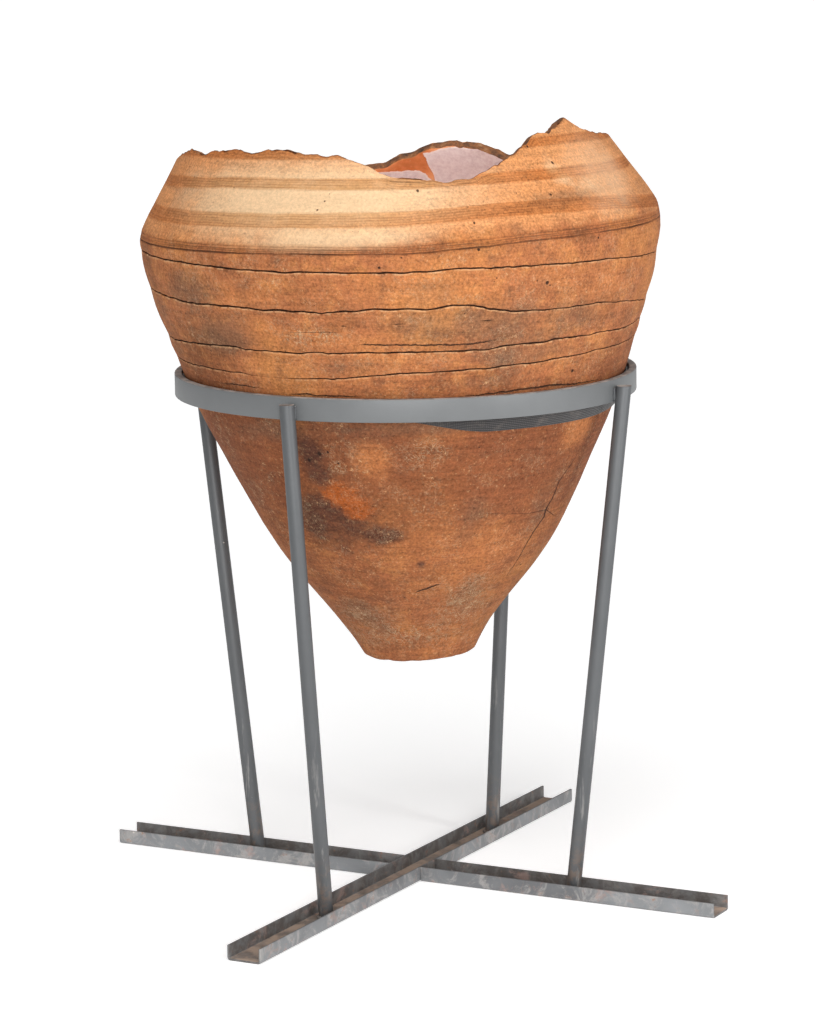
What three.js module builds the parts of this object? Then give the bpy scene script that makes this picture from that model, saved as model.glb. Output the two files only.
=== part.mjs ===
// A large broken storage jar (pithos) resting in the hoop of a four-legged welded steel stand.
//
// Millimetres, +Z up. The origin is on the floor under the middle of the foot cross.
// The long channel of the cross runs along Y and the two short ones run along X.
import * as THREE from "three";

// Foot cross: cold-formed U-channel, 50 x 20.5 x 3, open side up
const CHANNEL_WIDTH = 50;
const CHANNEL_HEIGHT = 20.5;
const CHANNEL_WALL = 3;
const CHANNEL_OUTER_BEND = 4.5;
const CHANNEL_INNER_BEND = 1.5;
const CROSS_REACH = 467;

// Hoop: 30 x 10 flat bar rolled on edge
const HOOP_OUTER_RADIUS = 315;
const HOOP_BAR_THICKNESS = 10;
const HOOP_BAR_HEIGHT = 30;
const HOOP_TOP = 716;

// Legs: 20 mm round bar that leans outwards from the cross to the hoop
const LEG_DIAMETER = 20;
const LEG_FOOT_RADIUS = 248;
const LEG_TOP_BELOW_HOOP_TOP = 8;

// Clearance between pieces that touch
const TOUCH = 0.4;

// Jar: heights are measured along its own axis from the plane of the hoop's top edge.
// Each station is [height, outer radius], from the foot's edge up past the broken rim.
const JAR_WALL_STATIONS = [
  [-394, 76], [-366, 92], [-325, 122], [-270, 166.5], [-230, 194], [-130, 244.7], [-30, 291],
  [60, 320.6], [130, 342.6], [192, 351.8], [207, 350.1], [222, 343], [265, 315.7], [325, 277], [360, 252],
];
const JAR_LEAN = 2.61;
const JAR_TURN = 28;
const JAR_SHIFT = 4;
const JAR_BOW = 7.7;
const JAR_BOW_SPAN = 350;
const WALL_AT_RIM = 19;
const WALL_AT_FOOT = 30;
const FLOOR_THICKNESS = 34;
const FLOOR_HOLLOW_RADIUS = 44;
const BREAK_SLANT = 7;

// Line of the break: [azimuth, height]. Azimuths run counter-clockwise from the jar's right side,
// so that -90 is the side that faces the viewer. A low saddle lies in front and another at the
// back right, and a sharp peak stands at the front right.
const BREAK_LINE = [
  [-165, 320], [-148, 317], [-119, 324], [-100, 309], [-90, 285], [-77, 274], [-65, 286], [-46, 322],
  [-31, 337], [-24, 317], [-5, 304], [25, 285], [59, 259], [67, 280], [76, 283], [98, 253], [130, 250],
  [165, 290],
];

// Open joints between the coils, from the lowest up: [azimuth, height] along each line. A joint is a
// V-shaped groove, and its line runs on round the back from one end to the other.
const COIL_JOINTS = [
  [[-172, 41], [-147, 38], [-125, 32], [-92, 34], [-36, 33]],
  [[-171, 69], [-138, 72], [-115, 66], [-73, 58], [-50, 59], [-25, 54]],
  [[-167, 136], [-138, 128], [-109, 120], [-97, 123], [-85, 118], [-75, 119], [-66, 105], [-53, 100],
    [-12, 82]],
  [[-168, 187], [-136, 181], [-114, 173], [-90, 168], [-62, 162], [-10, 145]],
];
const JOINT_HALF_WIDTH = 2;
const JOINT_DEPTH = 3;

// Lining strip: woven webbing between the hoop and the jar, which sags out below the hoop at the
// front right
const STRIP_THICKNESS = 2;
const STRIP_TOP_BELOW_HOOP_TOP = 3;
const STRIP_DEPTH_BEHIND_HOOP = 26;
const STRIP_DEPTH_WHERE_LOOSE = 49.5;
const STRIP_LOOSE_FROM = [-100, -68];
const STRIP_LOOSE_TO = [-40, 60];

// Facets round the jar, the strip and the hoop, and round one leg
const ROUND_STEPS = 72;
const LEG_SIDES = 20;

const degrees = THREE.MathUtils.degToRad;
const smoothstep = THREE.MathUtils.smoothstep;

// A smooth curve y(x) through stations [x, y] that never overshoots them
function smoothThrough(stations) {
  const rise = stations.slice(1).map(([x, y], i) => (y - stations[i][1]) / (x - stations[i][0]));
  const slope = stations.map((_, i) => {
    if (i === 0) return rise[0];
    if (i === rise.length) return rise[i - 1];
    const [before, after] = [rise[i - 1], rise[i]];
    return before * after <= 0 ? 0 : (2 * before * after) / (before + after);
  });
  return (x) => {
    let i = 0;
    while (i < rise.length - 1 && x > stations[i + 1][0]) i += 1;
    const [x0, y0] = stations[i];
    const [x1, y1] = stations[i + 1];
    const span = x1 - x0;
    const t = (x - x0) / span;
    return y0 * (1 + 2 * t) * (1 - t) ** 2 + y1 * t * t * (3 - 2 * t)
      + span * t * (1 - t) * (slope[i] * (1 - t) - slope[i + 1] * t);
  };
}

// The same for a line that runs round the full circle, with x in degrees
function smoothRound(stations) {
  const [first, last] = [stations[0], stations[stations.length - 1]];
  const curve = smoothThrough([[last[0] - 360, last[1]], ...stations, [first[0] + 360, first[1]]]);
  return (azimuth) => curve(azimuth > last[0] ? azimuth - 360 : azimuth);
}

// Evenly spaced values from one end to the other, both ends included
function steps(from, to, count) {
  return Array.from({ length: count + 1 }, (_, i) => from + ((to - from) * i) / count);
}

const wallRadius = smoothThrough(JAR_WALL_STATIONS);
const breakHeight = smoothRound(BREAK_LINE);
const FOOT_HEIGHT = JAR_WALL_STATIONS[0][0];

// How much longer a horizontal cut through the wall is than its true thickness
function wallSlant(height) {
  const reach = 2;
  return Math.hypot(1, (wallRadius(height + reach) - wallRadius(height - reach)) / (2 * reach));
}

// The jar's centre line bows gently to one side at its shoulder and towards its foot, which is upright
function bow(height) {
  return -JAR_BOW * (Math.max(height, -JAR_BOW_SPAN) / JAR_BOW_SPAN) ** 4;
}

// A closed skin through rows that run round the jar's axis. A row is a function of the azimuth in
// degrees that gives [radius, height]. Rows climb on the outside and come down on the inside. With
// poles, the first and last rows close on one point each, and otherwise the last joins the first.
function skinOfRows(rows, hasPoles) {
  const positions = [];
  const faces = [];
  const starts = [];
  rows.forEach((row, i) => {
    starts.push(positions.length / 3);
    const isPole = hasPoles && (i === 0 || i === rows.length - 1);
    const azimuths = isPole ? [0] : steps(-180, 180, ROUND_STEPS).slice(0, -1);
    for (const azimuth of azimuths) {
      const [radius, height] = row(azimuth);
      const angle = degrees(azimuth);
      positions.push(bow(height) + radius * Math.cos(angle), radius * Math.sin(angle), height);
    }
  });
  const joins = hasPoles ? rows.length - 1 : rows.length;
  for (let i = 0; i < joins; i += 1) {
    const upper = (i + 1) % rows.length;
    for (let j = 0; j < ROUND_STEPS; j += 1) {
      const next = (j + 1) % ROUND_STEPS;
      const [a, b] = [starts[i] + j, starts[i] + next];
      const [c, d] = [starts[upper] + next, starts[upper] + j];
      if (hasPoles && i === 0) faces.push(starts[0], c, d);
      else if (hasPoles && i === joins - 1) faces.push(a, b, starts[upper]);
      else faces.push(a, b, c, a, c, d);
    }
  }
  const geometry = new THREE.BufferGeometry();
  geometry.setAttribute("position", new THREE.Float32BufferAttribute(positions, 3));
  geometry.setIndex(faces);
  return geometry;
}

// Rows on the outside of the wall that share out the distance between two lines, up to the second
function rowsBetween(lowLine, highLine, count) {
  return steps(0, 1, count).slice(1).map((share) => (azimuth) => {
    const height = THREE.MathUtils.lerp(lowLine(azimuth), highLine(azimuth), share);
    return [wallRadius(height), height];
  });
}

// Jar: up the outside from the foot, over the broken edge, and down the inside to the floor
function jarGeometry() {
  const shoulderTop = 226;
  const conePart = -325;
  const belowJoints = 5;
  const rowSpacing = 33;
  const level = (height) => () => height;
  const fixedHeights = [...steps(FOOT_HEIGHT, conePart, 3), ...steps(conePart, belowJoints, 10).slice(1)];
  const outside = fixedHeights.map((height) => () => [wallRadius(height), height]);
  let reached = level(belowJoints);
  for (const points of COIL_JOINTS) {
    const joint = smoothRound(points);
    const lowerLip = (azimuth) => joint(azimuth) - JOINT_HALF_WIDTH;
    const upperLip = (azimuth) => joint(azimuth) + JOINT_HALF_WIDTH;
    const gap = lowerLip(-90) - reached(-90);
    outside.push(...rowsBetween(reached, lowerLip, Math.max(1, Math.round(gap / rowSpacing))));
    outside.push((azimuth) => [wallRadius(joint(azimuth)) - JOINT_DEPTH, joint(azimuth)]);
    outside.push((azimuth) => [wallRadius(upperLip(azimuth)), upperLip(azimuth)]);
    reached = upperLip;
  }
  outside.push(...rowsBetween(reached, level(shoulderTop), 4));
  outside.push(...rowsBetween(level(shoulderTop), breakHeight, 4));
  const floor = FOOT_HEIGHT + FLOOR_THICKNESS;
  const thickness = (height) => (
    THREE.MathUtils.mapLinear(height, FOOT_HEIGHT, 250, WALL_AT_FOOT, WALL_AT_RIM)
  );
  const innerRadius = (height) => wallRadius(height) - thickness(height) * wallSlant(height);
  const inside = [];
  for (const share of [1, 0.5]) {
    inside.push((azimuth) => {
      const height = shoulderTop + (breakHeight(azimuth) - BREAK_SLANT - shoulderTop) * share;
      return [innerRadius(height), height];
    });
  }
  const innerHeights = [...steps(shoulderTop, 150, 3), ...steps(150, -325, 9).slice(1)];
  for (const height of innerHeights) inside.push(() => [innerRadius(height), height]);
  inside.push(() => [FLOOR_HOLLOW_RADIUS, floor]);
  const rows = [() => [0, FOOT_HEIGHT], ...outside, ...inside, () => [0, floor]];
  return skinOfRows(rows, true);
}

// Strip: it follows the jar's wall from just under the hoop's top edge down to its own lower edge
function stripGeometry() {
  const lean = degrees(JAR_LEAN);
  const heightAtDepth = (azimuth, depth) => {
    let height = -depth;
    const settlingRounds = 6;
    for (let i = 0; i < settlingRounds; i += 1) {
      const sideways = wallRadius(height) * Math.cos(degrees(azimuth)) + bow(height);
      height = (-depth - sideways * Math.sin(lean)) / Math.cos(lean);
    }
    return height;
  };
  const lowerDepth = (azimuth) => {
    const loose = smoothstep(azimuth, ...STRIP_LOOSE_FROM) * (1 - smoothstep(azimuth, ...STRIP_LOOSE_TO));
    return THREE.MathUtils.lerp(STRIP_DEPTH_BEHIND_HOOP, STRIP_DEPTH_WHERE_LOOSE, loose);
  };
  const row = (share, offset) => (azimuth) => {
    const depth = THREE.MathUtils.lerp(lowerDepth(azimuth), STRIP_TOP_BELOW_HOOP_TOP, share);
    const height = heightAtDepth(azimuth, depth);
    return [wallRadius(height) + offset * wallSlant(height), height];
  };
  const shares = steps(0, 1, 3);
  const outside = shares.map((share) => row(share, TOUCH + STRIP_THICKNESS));
  const inside = shares.toReversed().map((share) => row(share, TOUCH));
  return skinOfRows([...outside, ...inside], false);
}

// Hoop: the bar's section turned round the Z axis
function hoopGeometry() {
  const outer = HOOP_OUTER_RADIUS;
  const inner = HOOP_OUTER_RADIUS - HOOP_BAR_THICKNESS;
  const low = HOOP_TOP - HOOP_BAR_HEIGHT;
  const section = [[inner, low], [outer, low], [outer, HOOP_TOP], [inner, HOOP_TOP], [inner, low]];
  const geometry = new THREE.LatheGeometry(section.map((point) => new THREE.Vector2(...point)), ROUND_STEPS);
  return geometry.rotateX(Math.PI / 2);
}

// Leg: a bar whose axis leans outwards along +X, cut level at both ends
function legGeometry() {
  const foot = CHANNEL_WALL + TOUCH;
  const top = HOOP_TOP - LEG_TOP_BELOW_HOOP_TOP;
  const hoopBottom = HOOP_TOP - HOOP_BAR_HEIGHT;
  const axisAtHoop = HOOP_OUTER_RADIUS + TOUCH + LEG_DIAMETER / 2;
  const lean = (axisAtHoop - LEG_FOOT_RADIUS) / (hoopBottom - foot);
  const geometry = new THREE.CylinderGeometry(LEG_DIAMETER / 2, LEG_DIAMETER / 2, top - foot, LEG_SIDES);
  geometry.rotateX(Math.PI / 2);
  geometry.translate(0, 0, (top - foot) / 2);
  geometry.scale(Math.hypot(1, lean), 1, 1);
  geometry.applyMatrix4(new THREE.Matrix4().makeShear(0, 0, 0, 0, lean, 0));
  return geometry.translate(LEG_FOOT_RADIUS, 0, foot);
}

// U-channel from one distance to another along +X, lying on the floor
function channelGeometry(from, to) {
  const half = CHANNEL_WIDTH / 2;
  const innerHalf = half - CHANNEL_WALL;
  const section = new THREE.Shape();
  section.moveTo(half, CHANNEL_HEIGHT);
  section.lineTo(innerHalf, CHANNEL_HEIGHT);
  section.lineTo(innerHalf, CHANNEL_WALL + CHANNEL_INNER_BEND);
  section.lineTo(innerHalf - CHANNEL_INNER_BEND, CHANNEL_WALL);
  section.lineTo(-innerHalf + CHANNEL_INNER_BEND, CHANNEL_WALL);
  section.lineTo(-innerHalf, CHANNEL_WALL + CHANNEL_INNER_BEND);
  section.lineTo(-innerHalf, CHANNEL_HEIGHT);
  section.lineTo(-half, CHANNEL_HEIGHT);
  const bendCentre = half - CHANNEL_OUTER_BEND;
  section.absarc(-bendCentre, CHANNEL_OUTER_BEND, CHANNEL_OUTER_BEND, Math.PI, Math.PI * 1.5);
  section.absarc(bendCentre, CHANNEL_OUTER_BEND, CHANNEL_OUTER_BEND, Math.PI * 1.5, Math.PI * 2);
  const sweep = { depth: to - from, bevelEnabled: false, curveSegments: 3 };
  const geometry = new THREE.ExtrudeGeometry(section, sweep);
  geometry.rotateX(Math.PI / 2).rotateZ(Math.PI / 2);
  return geometry.translate(from, 0, 0);
}

const firedClay = new THREE.MeshStandardMaterial({ color: 0xc4834f, roughness: 0.85, metalness: 0 });
const greyPaint = new THREE.MeshStandardMaterial({ color: 0x7f8385, roughness: 0.5, metalness: 0.2 });
const darkWebbing = new THREE.MeshStandardMaterial({ color: 0x3a3b3c, roughness: 0.95, metalness: 0 });

function piece(name, geometry, material) {
  const mesh = new THREE.Mesh(geometry, material.clone());
  mesh.name = name;
  return mesh;
}

const model = new THREE.Group();

// The jar and the strip that follows it lean together about the middle of the hoop
const leaning = new THREE.Group();
leaning.rotation.set(0, -degrees(JAR_LEAN), degrees(JAR_TURN), "ZYX");
leaning.position.set(JAR_SHIFT, 0, 0).applyAxisAngle(new THREE.Vector3(0, 0, 1), degrees(JAR_TURN));
leaning.position.z = HOOP_TOP;
leaning.add(piece("pithos", jarGeometry(), firedClay), piece("lining_strip", stripGeometry(), darkWebbing));
model.add(leaning);

model.add(piece("hoop", hoopGeometry(), greyPaint));

const LEG_DIRECTIONS = { leg_right: 0, leg_back: 90, leg_left: 180, leg_front: -90 };
for (const [name, direction] of Object.entries(LEG_DIRECTIONS)) {
  const leg = piece(name, legGeometry(), greyPaint);
  leg.rotation.z = degrees(direction);
  model.add(leg);
}

const longChannel = piece("long_channel", channelGeometry(-CROSS_REACH, CROSS_REACH), greyPaint);
longChannel.rotation.z = Math.PI / 2;
model.add(longChannel);

const SHORT_CHANNEL_DIRECTIONS = { short_channel_right: 0, short_channel_left: 180 };
for (const [name, direction] of Object.entries(SHORT_CHANNEL_DIRECTIONS)) {
  const channel = piece(name, channelGeometry(CHANNEL_WIDTH / 2 + TOUCH, CROSS_REACH), greyPaint);
  channel.rotation.z = degrees(direction);
  model.add(channel);
}

export default model;
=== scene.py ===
# %% [markdown]
# # A broken storage jar on its steel stand
#
# The object is the lower part of a huge storage jar, a pithos. A potter built it from thick coils of
# clay, smoothed them on a slow wheel and combed a few bands round the shoulder. The neck is lost. What
# is left rests in the hoop of a welded steel stand, on a strip of webbing.
#
# The measured model of every piece is loaded first. It isn't moved or changed. The pieces that are
# modelled below lie exactly over it and add the surface: the open joints between the coils, the
# ragged break, the glaze inside, the paint, the dust and the scuffs.

# %% Load the measured model
import math

import bpy
import numpy as np
from mathutils import Matrix, Vector


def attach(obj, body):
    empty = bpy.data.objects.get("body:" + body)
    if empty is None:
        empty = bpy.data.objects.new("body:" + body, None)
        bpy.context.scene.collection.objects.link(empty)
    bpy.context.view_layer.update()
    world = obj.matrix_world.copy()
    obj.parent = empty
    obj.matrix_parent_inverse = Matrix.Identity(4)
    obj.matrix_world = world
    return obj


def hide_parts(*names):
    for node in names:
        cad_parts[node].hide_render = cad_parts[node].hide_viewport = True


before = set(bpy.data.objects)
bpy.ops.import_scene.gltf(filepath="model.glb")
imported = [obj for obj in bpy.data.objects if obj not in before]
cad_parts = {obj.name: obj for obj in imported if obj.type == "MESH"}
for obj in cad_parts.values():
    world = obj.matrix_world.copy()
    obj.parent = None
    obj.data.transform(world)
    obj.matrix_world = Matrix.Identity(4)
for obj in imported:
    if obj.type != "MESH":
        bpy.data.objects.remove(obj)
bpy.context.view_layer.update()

# %% [markdown]
# ## Small helpers
#
# Sizes below are in millimetres, as a potter or a welder would measure them, and MM turns them into
# Blender's metres. Operators act on everything that is selected, so each piece starts from an empty
# selection. Faces, edges and points are then picked by where they are.

# %% Units and selections
MM = 0.001


def only(piece=None):
    """Leaves nothing selected but the given piece."""
    if bpy.context.object and bpy.context.object.mode != "OBJECT":
        bpy.ops.object.mode_set(mode="OBJECT")
    bpy.ops.object.select_all(action="DESELECT")
    if piece:
        piece.select_set(True)
        bpy.context.view_layer.objects.active = piece


def pick(piece, kind, test):
    """Selects the vertices, edges or polygons of a piece that pass a test, and nothing else."""
    bpy.ops.object.mode_set(mode="EDIT")
    bpy.ops.mesh.select_mode(type={"vertices": "VERT", "edges": "EDGE", "polygons": "FACE"}[kind])
    bpy.ops.mesh.select_all(action="DESELECT")
    bpy.ops.object.mode_set(mode="OBJECT")
    for element in getattr(piece.data, kind):
        element.select = test(element)
    bpy.ops.object.mode_set(mode="EDIT")


def named(name):
    """Names the piece that was just added, and gives it back."""
    piece = bpy.context.object
    piece.name = name
    piece.data.name = name
    return piece


def apply_all(piece):
    """Applies every modifier of a piece, so that its mesh is final."""
    only(piece)
    for modifier in list(piece.modifiers):
        bpy.ops.object.modifier_apply(modifier=modifier.name)


def points_of(piece):
    """The vertices of a piece as rows of x, y and z."""
    places = np.zeros(len(piece.data.vertices) * 3)
    piece.data.vertices.foreach_get("co", places)
    return places.reshape(-1, 3)


def move_points(piece, places):
    """Puts the vertices of a piece at new places."""
    piece.data.vertices.foreach_set("co", np.ascontiguousarray(places).ravel())
    piece.data.update()


def share(piece, name, values):
    """Stores one number per vertex, which a material can read by its name."""
    attribute = piece.data.attributes.new(name, "FLOAT", "POINT")
    attribute.data.foreach_set("value", np.asarray(values, np.float32))


# %% [markdown]
# ## The camera
#
# The picture was taken with a long lens, a little above the rim and 28 degrees to the right of the
# long channel of the foot. The camera is set from those facts alone: a distance, a height, a
# downward tilt and a very small roll. The lens isn't shifted and everything is in focus.

# %% Camera
CAMERA_TURN = math.radians(28)
CAMERA_DISTANCE = 5084
CAMERA_HEIGHT = 1394.75
CAMERA_TILT = math.radians(9.813)
CAMERA_ROLL = math.radians(-0.812)
FILM_HEIGHT = 36
LENS = 131.94

only()
bpy.ops.object.camera_add()
camera = bpy.context.object
camera.name = "view"
camera.data.sensor_fit = "VERTICAL"
camera.data.sensor_height = FILM_HEIGHT
camera.data.lens = LENS
camera.data.clip_end = 100
stand_point = Vector((math.sin(CAMERA_TURN), -math.cos(CAMERA_TURN), 0)) * CAMERA_DISTANCE
stand_point.z = CAMERA_HEIGHT
camera.matrix_world = (
    Matrix.Translation(stand_point * MM)
    @ Matrix.Rotation(CAMERA_TURN, 4, "Z")
    @ Matrix.Rotation(math.pi / 2 - CAMERA_TILT, 4, "X")
    @ Matrix.Rotation(CAMERA_ROLL, 4, "Z")
)
bpy.context.scene.camera = camera
print("camera at", tuple(round(x, 2) for x in camera.matrix_world.translation))

# %% [markdown]
# ## Light, floor and background
#
# The studio is white. A big soft light hangs high in front of the object, and a lower one stands at
# the height of the lens, which makes the jar's left edge fall off into shade. A softbox on the
# right lights that side of the jar, and the right leg throws its soft shadow there. The left side and
# the left leg stay dark. A narrow spot from beside the camera reaches over the low part of the rim to
# the glaze inside. The floor is matt white paper, lit so that it is as white as the background.

# %% Studio
AMBIENT = 0.32
PAPER_WIDTH = 60
SUNS = {
    # Name: direction it comes from as azimuth and elevation in degrees, strength, softness in degrees
    "high_light": (-70, 54, 1.35, 50),
    "front_light": (-61, 9, 2.1, 34),
}


def sun(name, azimuth, elevation, strength, softness):
    """A distant light that comes from a direction."""
    only()
    bpy.ops.object.light_add(type="SUN")
    light = bpy.context.object
    light.name = name
    light.data.energy = strength
    light.data.angle = math.radians(softness)
    level = math.cos(math.radians(elevation))
    towards = Vector((level * math.cos(math.radians(azimuth)), level * math.sin(math.radians(azimuth)),
                      math.sin(math.radians(elevation))))
    light.rotation_euler = towards.to_track_quat("Z", "Y").to_euler()


for name, (azimuth, elevation, strength, softness) in SUNS.items():
    sun(name, azimuth, elevation, strength, softness)

only()
side_place = Vector((3.3, -0.7, 1.3))
bpy.ops.object.light_add(type="AREA", location=side_place)
side_light = bpy.context.object
side_light.name = "side_softbox"
side_light.data.size = 0.8
side_light.data.energy = 40
side_light.rotation_euler = (side_place - Vector((0, 0, 0.6))).to_track_quat("Z", "Y").to_euler()

only()
spot_place = Vector((2.25, -4.0, 1.95))
bpy.ops.object.light_add(type="SPOT", location=spot_place)
rim_spot = bpy.context.object
rim_spot.name = "rim_spot"
rim_spot.data.energy = 320
rim_spot.data.spot_size = math.radians(5)
rim_spot.data.spot_blend = 1
rim_spot.data.shadow_soft_size = 0.25
rim_spot.rotation_euler = (spot_place - Vector((-0.05, 0.29, 0.98))).to_track_quat("Z", "Y").to_euler()

studio = bpy.data.worlds.new("studio")
bpy.context.scene.world = studio
studio.use_nodes = True
room = studio.node_tree.nodes["Background"]
room.inputs["Color"].default_value = (1, 1, 1, 1)
ray = studio.node_tree.nodes.new("ShaderNodeLightPath")
brightness = studio.node_tree.nodes.new("ShaderNodeMapRange")
brightness.inputs["To Min"].default_value = AMBIENT
brightness.inputs["To Max"].default_value = 1.05
studio.node_tree.links.new(ray.outputs["Is Camera Ray"], brightness.inputs["Value"])
studio.node_tree.links.new(brightness.outputs["Result"], room.inputs["Strength"])
bpy.context.scene.view_settings.view_transform = "Standard"

only()
bpy.ops.mesh.primitive_plane_add(size=PAPER_WIDTH)
paper = named("paper_floor")

# %% [markdown]
# ## Colours and nodes
#
# Colours are written as sRGB hex values, the way a paint chart gives them, and one function turns
# them into the linear values that Blender mixes. One more function adds any node: the values and
# links come in the order of its inputs, and it gives back one output. Three kinds of node come back
# all the time. MapRange with smooth steps turns a range of values into a soft mask, and where its
# first value is the larger one the mask is turned round. Mix lays one colour over another where its
# mask is 1. Math adds, multiplies or keeps the larger of two values. The mesh also carries numbers
# at its points, such as the height on the jar, and Attribute reads them by their names.

# %% Colour and node helpers


def colour(code):
    """A linear colour with full alpha from an sRGB hex value such as "#c4834f"."""
    parts = [int(code[i:i + 2], 16) / 255 for i in (1, 3, 5)]
    return [x / 12.92 if x <= 0.04045 else ((x + 0.055) / 1.055) ** 2.4 for x in parts] + [1]


def node(tree, kind, *values, output=None, stops=(), points=(), **settings):
    """Adds one node and gives back one of its outputs, which is the first one in use if none is named.

    The values fill the inputs in use from the first one on: numbers, sRGB hex colours or outputs of
    other nodes. A keyword with a capital is an input, with _ for a space, and any other keyword is a
    setting of the node. stops fills a colour ramp, and points a float curve."""
    made = tree.nodes.new("ShaderNode" + kind)
    inputs = {key: settings.pop(key) for key in list(settings) if key[0].isupper()}
    for key, value in settings.items():
        setattr(made, key, value)
    filled = list(zip([socket for socket in made.inputs if socket.enabled], values))
    filled += [(made.inputs[key.replace("_", " ")], value) for key, value in inputs.items()]
    for socket, value in filled:
        if isinstance(value, bpy.types.NodeSocket):
            tree.links.new(value, socket)
        else:
            socket.default_value = colour(value) if isinstance(value, str) else value
    if stops:
        ramp = made.color_ramp.elements
        while len(ramp) < len(stops):
            ramp.new(1)
        for element, (place, code) in zip(ramp, stops):
            element.position = place
            element.color = colour(code)
    if points:
        curve = made.mapping.curves[0].points
        while len(curve) < len(points):
            curve.new(0, 0)
        for point, (x, y) in zip(curve, points):
            point.location = (x, y)
            point.handle_type = "VECTOR"
        made.mapping.update()
    if output is None:
        return next(socket for socket in made.outputs if socket.enabled)
    return made.outputs[output]


def new_material(name, roughness, metallic=0.0):
    """A material, its node tree and its main shader."""
    material = bpy.data.materials.new(name)
    material.use_nodes = True
    tree = material.node_tree
    shader = tree.nodes["Principled BSDF"]
    shader.inputs["Roughness"].default_value = roughness
    shader.inputs["Metallic"].default_value = metallic
    return material, tree, shader


def grain(tree, size, detail=3.0, roughness=0.6, squash=(1, 1, 1), seed=0.0, distortion=0.0):
    """Noise over the piece whose patches are about size millimetres across."""
    place = node(tree, "Mapping", node(tree, "TexCoord", output=3),
                 Location=(seed, seed * 0.7, -seed), Scale=squash)
    return node(tree, "TexNoise", place, Scale=1 / (size * MM), Detail=detail, Roughness=roughness,
                Distortion=distortion)


# %% [markdown]
# ## The jar's own sizes
#
# Heights on the jar are measured along its own axis from the plane of the hoop's top edge. Each
# station is a height and the outer radius there. A curve that never overshoots runs through them,
# so a few stations give the whole wall. Azimuths run counter-clockwise from the jar's right side,
# and -90 is the side that faces the viewer.

# %% Wall curve
WALL_STATIONS = [
    (-394, 76), (-366, 92), (-325, 122), (-270, 166.5), (-230, 194), (-130, 244.7), (-30, 291),
    (60, 320.6), (130, 342.6), (192, 351.8), (207, 350.1), (222, 343), (265, 315.7), (325, 277),
    (360, 252),
]
FOOT_HEIGHT = WALL_STATIONS[0][0]
HOOP_TOP = 716
JAR_LEAN = math.radians(2.61)
JAR_TURN = math.radians(28)
JAR_SHIFT = 4
JAR_BOW = 7.7
JAR_BOW_SPAN = 350
WALL_AT_RIM = 19
WALL_AT_FOOT = 30
FLOOR_THICKNESS = 34
FLOOR_HOLLOW_RADIUS = 44


def smooth_through(stations):
    """A curve y(x) through stations (x, y) that never overshoots them."""
    x, y = np.array(stations, float).T
    rise = np.diff(y) / np.diff(x)
    before, after = rise[:-1], rise[1:]
    same_way = before * after > 0
    middle = np.where(same_way, 2 * before * after / np.where(same_way, before + after, 1), 0)
    slope = np.concatenate([rise[:1], middle, rise[-1:]])

    def curve(at):
        i = np.clip(np.searchsorted(x, at) - 1, 0, len(rise) - 1)
        span = x[i + 1] - x[i]
        t = (at - x[i]) / span
        ends = y[i] * (1 + 2 * t) * (1 - t) ** 2 + y[i + 1] * t * t * (3 - 2 * t)
        return ends + span * t * (1 - t) * (slope[i] * (1 - t) - slope[i + 1] * t)

    return curve


wall_radius = smooth_through(WALL_STATIONS)


def inner_radius(height):
    """The inside of the wall, a true thickness in from the outside."""
    share_up = (height - FOOT_HEIGHT) / (250 - FOOT_HEIGHT)
    thickness = WALL_AT_FOOT + (WALL_AT_RIM - WALL_AT_FOOT) * share_up
    reach = 2
    slant = (wall_radius(height + reach) - wall_radius(height - reach)) / (2 * reach)
    return wall_radius(height) - thickness * np.hypot(1, slant)


print("belly", 2 * wall_radius(195), "mm across, foot", 2 * wall_radius(FOOT_HEIGHT), "mm")

# %% [markdown]
# ## Lines that run round the jar
#
# The coils of such a jar are about 50 mm high. Their joints have opened again here and there, and
# each one wanders up and down as it goes round. The combed bands do the same. Each of these lines is
# written as what was measured on the side that shows. Round the back it simply runs on from one end
# to the other. If the mesh rows were level, they would cross the lines and fray them. So the jar is
# thrown with level rows first, and the rows are then lifted until they follow the lines.

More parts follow.
